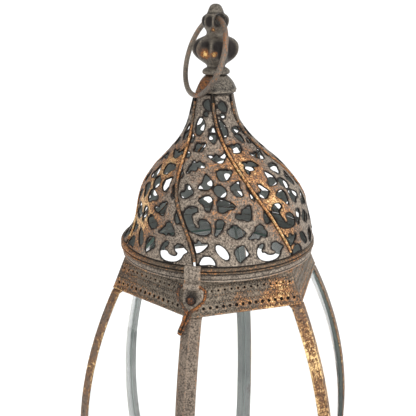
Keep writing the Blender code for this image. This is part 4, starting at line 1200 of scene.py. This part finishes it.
def knob_plate():
    """The knob's plate, folded over the band's corner, with a painted shadow round the knob."""
    points, edge, columns = [], [], 9
    for level, half in ((18.5, 5.6), (18.2, 6.25), (15.0, 6.25), (12.0, 6.25), (9.0, 6.2),
                        (7.4, 5.6), (6.0, 4.5), (5.0, 3.4), (4.6, 2.4)):
        front = band_corner(level) + 0.9
        points += [(x, -front + abs(x) * math.tan(HALF_SIDE), level)
                   for x in np.linspace(-half, half, columns)]
        inner = 0.8 if level in (18.5, 4.6) else 0.1
        edge += [0.8] + [inner] * (columns - 2) + [0.8]
    # painted shadow round the knob
    painted_shade = [0.7 * math.exp(-(math.hypot(x, z - KNOB_HEIGHT - 0.3) / 4.0) ** 4)
              for x, y, z in points]
    add_sheet("knob_plate", points, columns, "body", "latch_plate", [PATINA], edge, 0.75, 0.15,
              25.0, painted_shade)


# ---------------------------------------------------------------- base

ARCH_REACH = 20.6             # half the width of the arch in each side of the foot
ARCH_RISE = 14.6


def foot_side(profile):
    """One side of the foot, with its arch and a row of holes, bent to a profile of (corner radius,
    height). Returns its points on the +X side, faces, slots and edge."""
    radii, levels = profile.T
    lengths = lengths_along(profile)
    total = lengths[-1]
    side = [(np.interp(s, lengths, radii) / 2 - 0.3, s) for s in np.linspace(0.0, total, 14)]
    arch = [(ARCH_REACH * math.cos(a), total - 0.3 - ARCH_RISE * math.sin(a))
            for a in np.linspace(0.0, math.pi, 28)]
    foot = [(x, total) for x in np.linspace(side[-1][0], ARCH_REACH, 8)[1:-1]]
    head = [(x, 0.0) for x in np.linspace(-side[0][0], side[0][0], 24)[1:-1]]
    other_half = [(-x, s) for x, s in (side + foot)[::-1]]
    holes = [np.array(oval(x, 6.4, 1.05, 1.05, 12))
             for x in (-26, -21, -16, -11, -6, 0, 6, 11, 16, 21, 26)]
    points, faces, slots, edge = pierced_plate(np.array(head + side + foot + arch + other_half),
                                               holes, 1.1, 1.8, rim=0.22)
    x, s, offset = points.T
    out = np.interp(s + 0.5, lengths, radii) - np.interp(s - 0.5, lengths, radii)
    depth = np.interp(s, lengths, radii) * math.cos(HALF_SIDE) + offset - 0.6
    z = np.maximum(np.interp(s, lengths, levels) + offset * out * 0.6, GROUND + 0.1)
    return np.column_stack([depth, x, z]), faces, slots, edge


def foot_skirt():
    """Flared hexagonal skirt with an arch in each side, beads down its corners and round its feet,
    and a flange on top."""
    top = FOOT_TOP
    profile = smooth_path([(66.0, top - 0.4), (66.6, top - 6.0), (69.6, top - 16.0),
                           (FOOT_CORNER - 0.8, GROUND + 1.4)], 10)
    points, faces, slots, edge = foot_side(profile)
    shapes = [shape_with_wear_and_shade(at_corner(points, k + 0.5), faces, slots, edge) for k in range(SIDES)]
    ridge = [(r - 0.35, 0.0, level) for r, level in profile[::2]]
    reach = FOOT_CORNER / 2 - ARCH_REACH - 0.2
    toe = [(FOOT_CORNER - 1.3 - abs(along) * math.sin(HALF_SIDE), along * math.cos(HALF_SIDE),
            GROUND + 0.95) for along in np.linspace(-reach, reach, 25)]
    for k in range(SIDES):
        shapes.append(shape_with_wear_and_shade(*tube(at_corner(ridge, k), 0.75, 8, uneven=0.1), edge=0.6))
        shapes.append(shape_with_wear_and_shade(*tube(at_corner(toe, k), 0.92, 10), edge=0.6))
    flange = [(57.0, top), (66.2, top), (66.2, top - 1.2), (57.0, top - 1.2)]
    shapes.append(shape_with_wear_and_shade(*lathe(flange, SIDES, turn=FRONT), edge=0.6))
    points, faces, slots, edge, painted_shade = join(shapes)
    add_piece("arched_foot", points, faces, "body", "foot_skirt", [PATINA, STEEL], edge, painted_shade,
              slots)


def candle_plate():
    """Shallow dish with a rolled rim and a recess in its middle for the spike's foot."""
    low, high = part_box("candle_plate")
    floor, rim = above_band(low.z), high.x / MM
    outline = [(0.02, 1.2), (8.8, 1.2), (9.4, 1.7), (10.0, 2.65), (24.0, 2.68), (rim - 8.2, 2.68),
               (rim - 6.0, 3.3), (rim - 3.0, 5.7), (rim - 1.6, 6.0), (rim - 0.2, 5.9),
               (rim - 0.1, 5.4), (rim - 2.4, 5.0), (rim - 5.4, 2.4), (rim - 7.6, 1.55),
               (24.0, 1.5), (10.4, 1.5), (9.2, 0.05), (0.02, 0.05)]
    points, faces = lathe([(r, floor + z) for r, z in outline], 96, closed=False)
    radius = np.hypot(points[:, 0], points[:, 1])
    add_piece("dished_plate", points, faces, "body", "candle_plate", [PATINA],
              peak(radius, rim - 0.6, 0.8))


def dress_cad_nodes():
    """The small CAD pieces whose shape is right keep it, with worn metal and softened edges."""
    dressed = {"base_plate": PATINA, "candle_spike": IRON, "hinge_leaf_body": PATINA,
               "hinge_leaf_lid": PATINA, "hinge_pin": IRON, "finial_washer": IRON,
               "finial_nut": IRON}
    for node, material in dressed.items():
        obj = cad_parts[node]
        obj.data.materials.clear()
        obj.data.materials.append(material)
        add_bevel(obj, 0.12, 35.0)


# ---------------------------------------------------------------- stage

def stage():
    """A pale, matt floor just under the lantern."""
    t = NodeTree("pale_floor")
    colour = t.mix(t.noise(0.8, 2.0), (0.955, 0.955, 0.955, 1.0), (0.965, 0.965, 0.965, 1.0))
    size = 30.0
    mesh = bpy.data.meshes.new("floor")
    mesh.from_pydata([(-size, -size, 0), (size, -size, 0), (size, size, 0), (-size, size, 0)], [],
                     [(0, 1, 2, 3)])
    mesh.materials.append(t.finish(Base_Color=colour, Roughness=0.9, Specular_IOR_Level=0.1))
    floor = new_object("floor", mesh)
    floor.location.z = -0.0002


def area_light(name, place, size, power):
    """A soft panel aimed at the lantern, kept out of the panes' reflections."""
    target = Vector((0.0, 0.0, 0.3))
    lamp = bpy.data.lights.new(name, "AREA")
    lamp.shape = "RECTANGLE"
    lamp.size, lamp.size_y = size
    lamp.energy = power
    obj = new_object(name, lamp)
    obj.location = place
    obj.rotation_euler = (target - Vector(place)).to_track_quat("-Z", "Y").to_euler()
    obj.visible_glossy = False


def lights():
    world = bpy.data.worlds.new("studio")
    world.use_nodes = True
    background = world.node_tree.nodes["Background"]
    background.inputs["Color"].default_value = (1.0, 1.0, 1.0, 1.0)
    background.inputs["Strength"].default_value = 0.6
    bpy.context.scene.world = world
    sun = bpy.data.lights.new("soft_sky", "SUN")
    sun.energy = 2.8
    sun.angle = math.radians(40.0)
    sky = new_object("soft_sky", sun)
    sky.rotation_euler = (math.radians(44.0), 0.0, math.radians(62.0))
    area_light("front", (0.5, -1.9, 1.0), (0.9, 0.9), 10.0)
    area_light("left", (-1.9, -0.5, 0.9), (0.7, 1.2), 8.0)


# ---------------------------------------------------------------- camera

CAMERA_AZIMUTH = math.radians(13.17)     # to the right of the latch corner
CAMERA_ELEVATION = math.radians(21.9)
CAMERA_DISTANCE = 0.5875
CAMERA_YAW = math.radians(-0.63)         # small turns after aiming at the band's centre
CAMERA_PITCH = math.radians(4.67)
CAMERA_ROLL = math.radians(0.36)
CAMERA_LENS = 71.48


def turned_pair(first, second, angle):
    """Two axes turned in their own plane."""
    c, s = math.cos(angle), math.sin(angle)
    return first * c - second * s, first * s + second * c


def camera():
    c, s = math.cos(CAMERA_AZIMUTH), math.sin(CAMERA_AZIMUTH)
    level = math.cos(CAMERA_ELEVATION)
    back = Vector((s * level, -c * level, math.sin(CAMERA_ELEVATION)))
    right, ahead = turned_pair(Vector((c, s, 0.0)), -back, CAMERA_YAW)
    up, ahead = turned_pair(back.cross(Vector((c, s, 0.0))), ahead, CAMERA_PITCH)
    right, up = turned_pair(right, up, CAMERA_ROLL)
    lens = bpy.data.cameras.new("photo_view")
    lens.lens = CAMERA_LENS
    lens.sensor_width = 36.0
    lens.clip_start = 0.01
    matrix = Matrix((right, up, -ahead)).transposed().to_4x4()
    matrix.translation = Vector((0.0, 0.0, BASE)) + back * CAMERA_DISTANCE
    view = new_object("photo_view", lens)
    view.matrix_world = matrix
    bpy.context.scene.camera = view


camera()
lights()
stage()
pierced_gores()
seam_ribs()
lid_rim()
bell_cap()
turned_finial()
hanging_ring()
bands()
collar()
corner_posts()
glass_panels()
latch_tab()
latch_bail()
latch_knob()
knob_plate()
foot_skirt()
candle_plate()
dress_cad_nodes()
bpy.context.scene.view_settings.view_transform = "Standard"
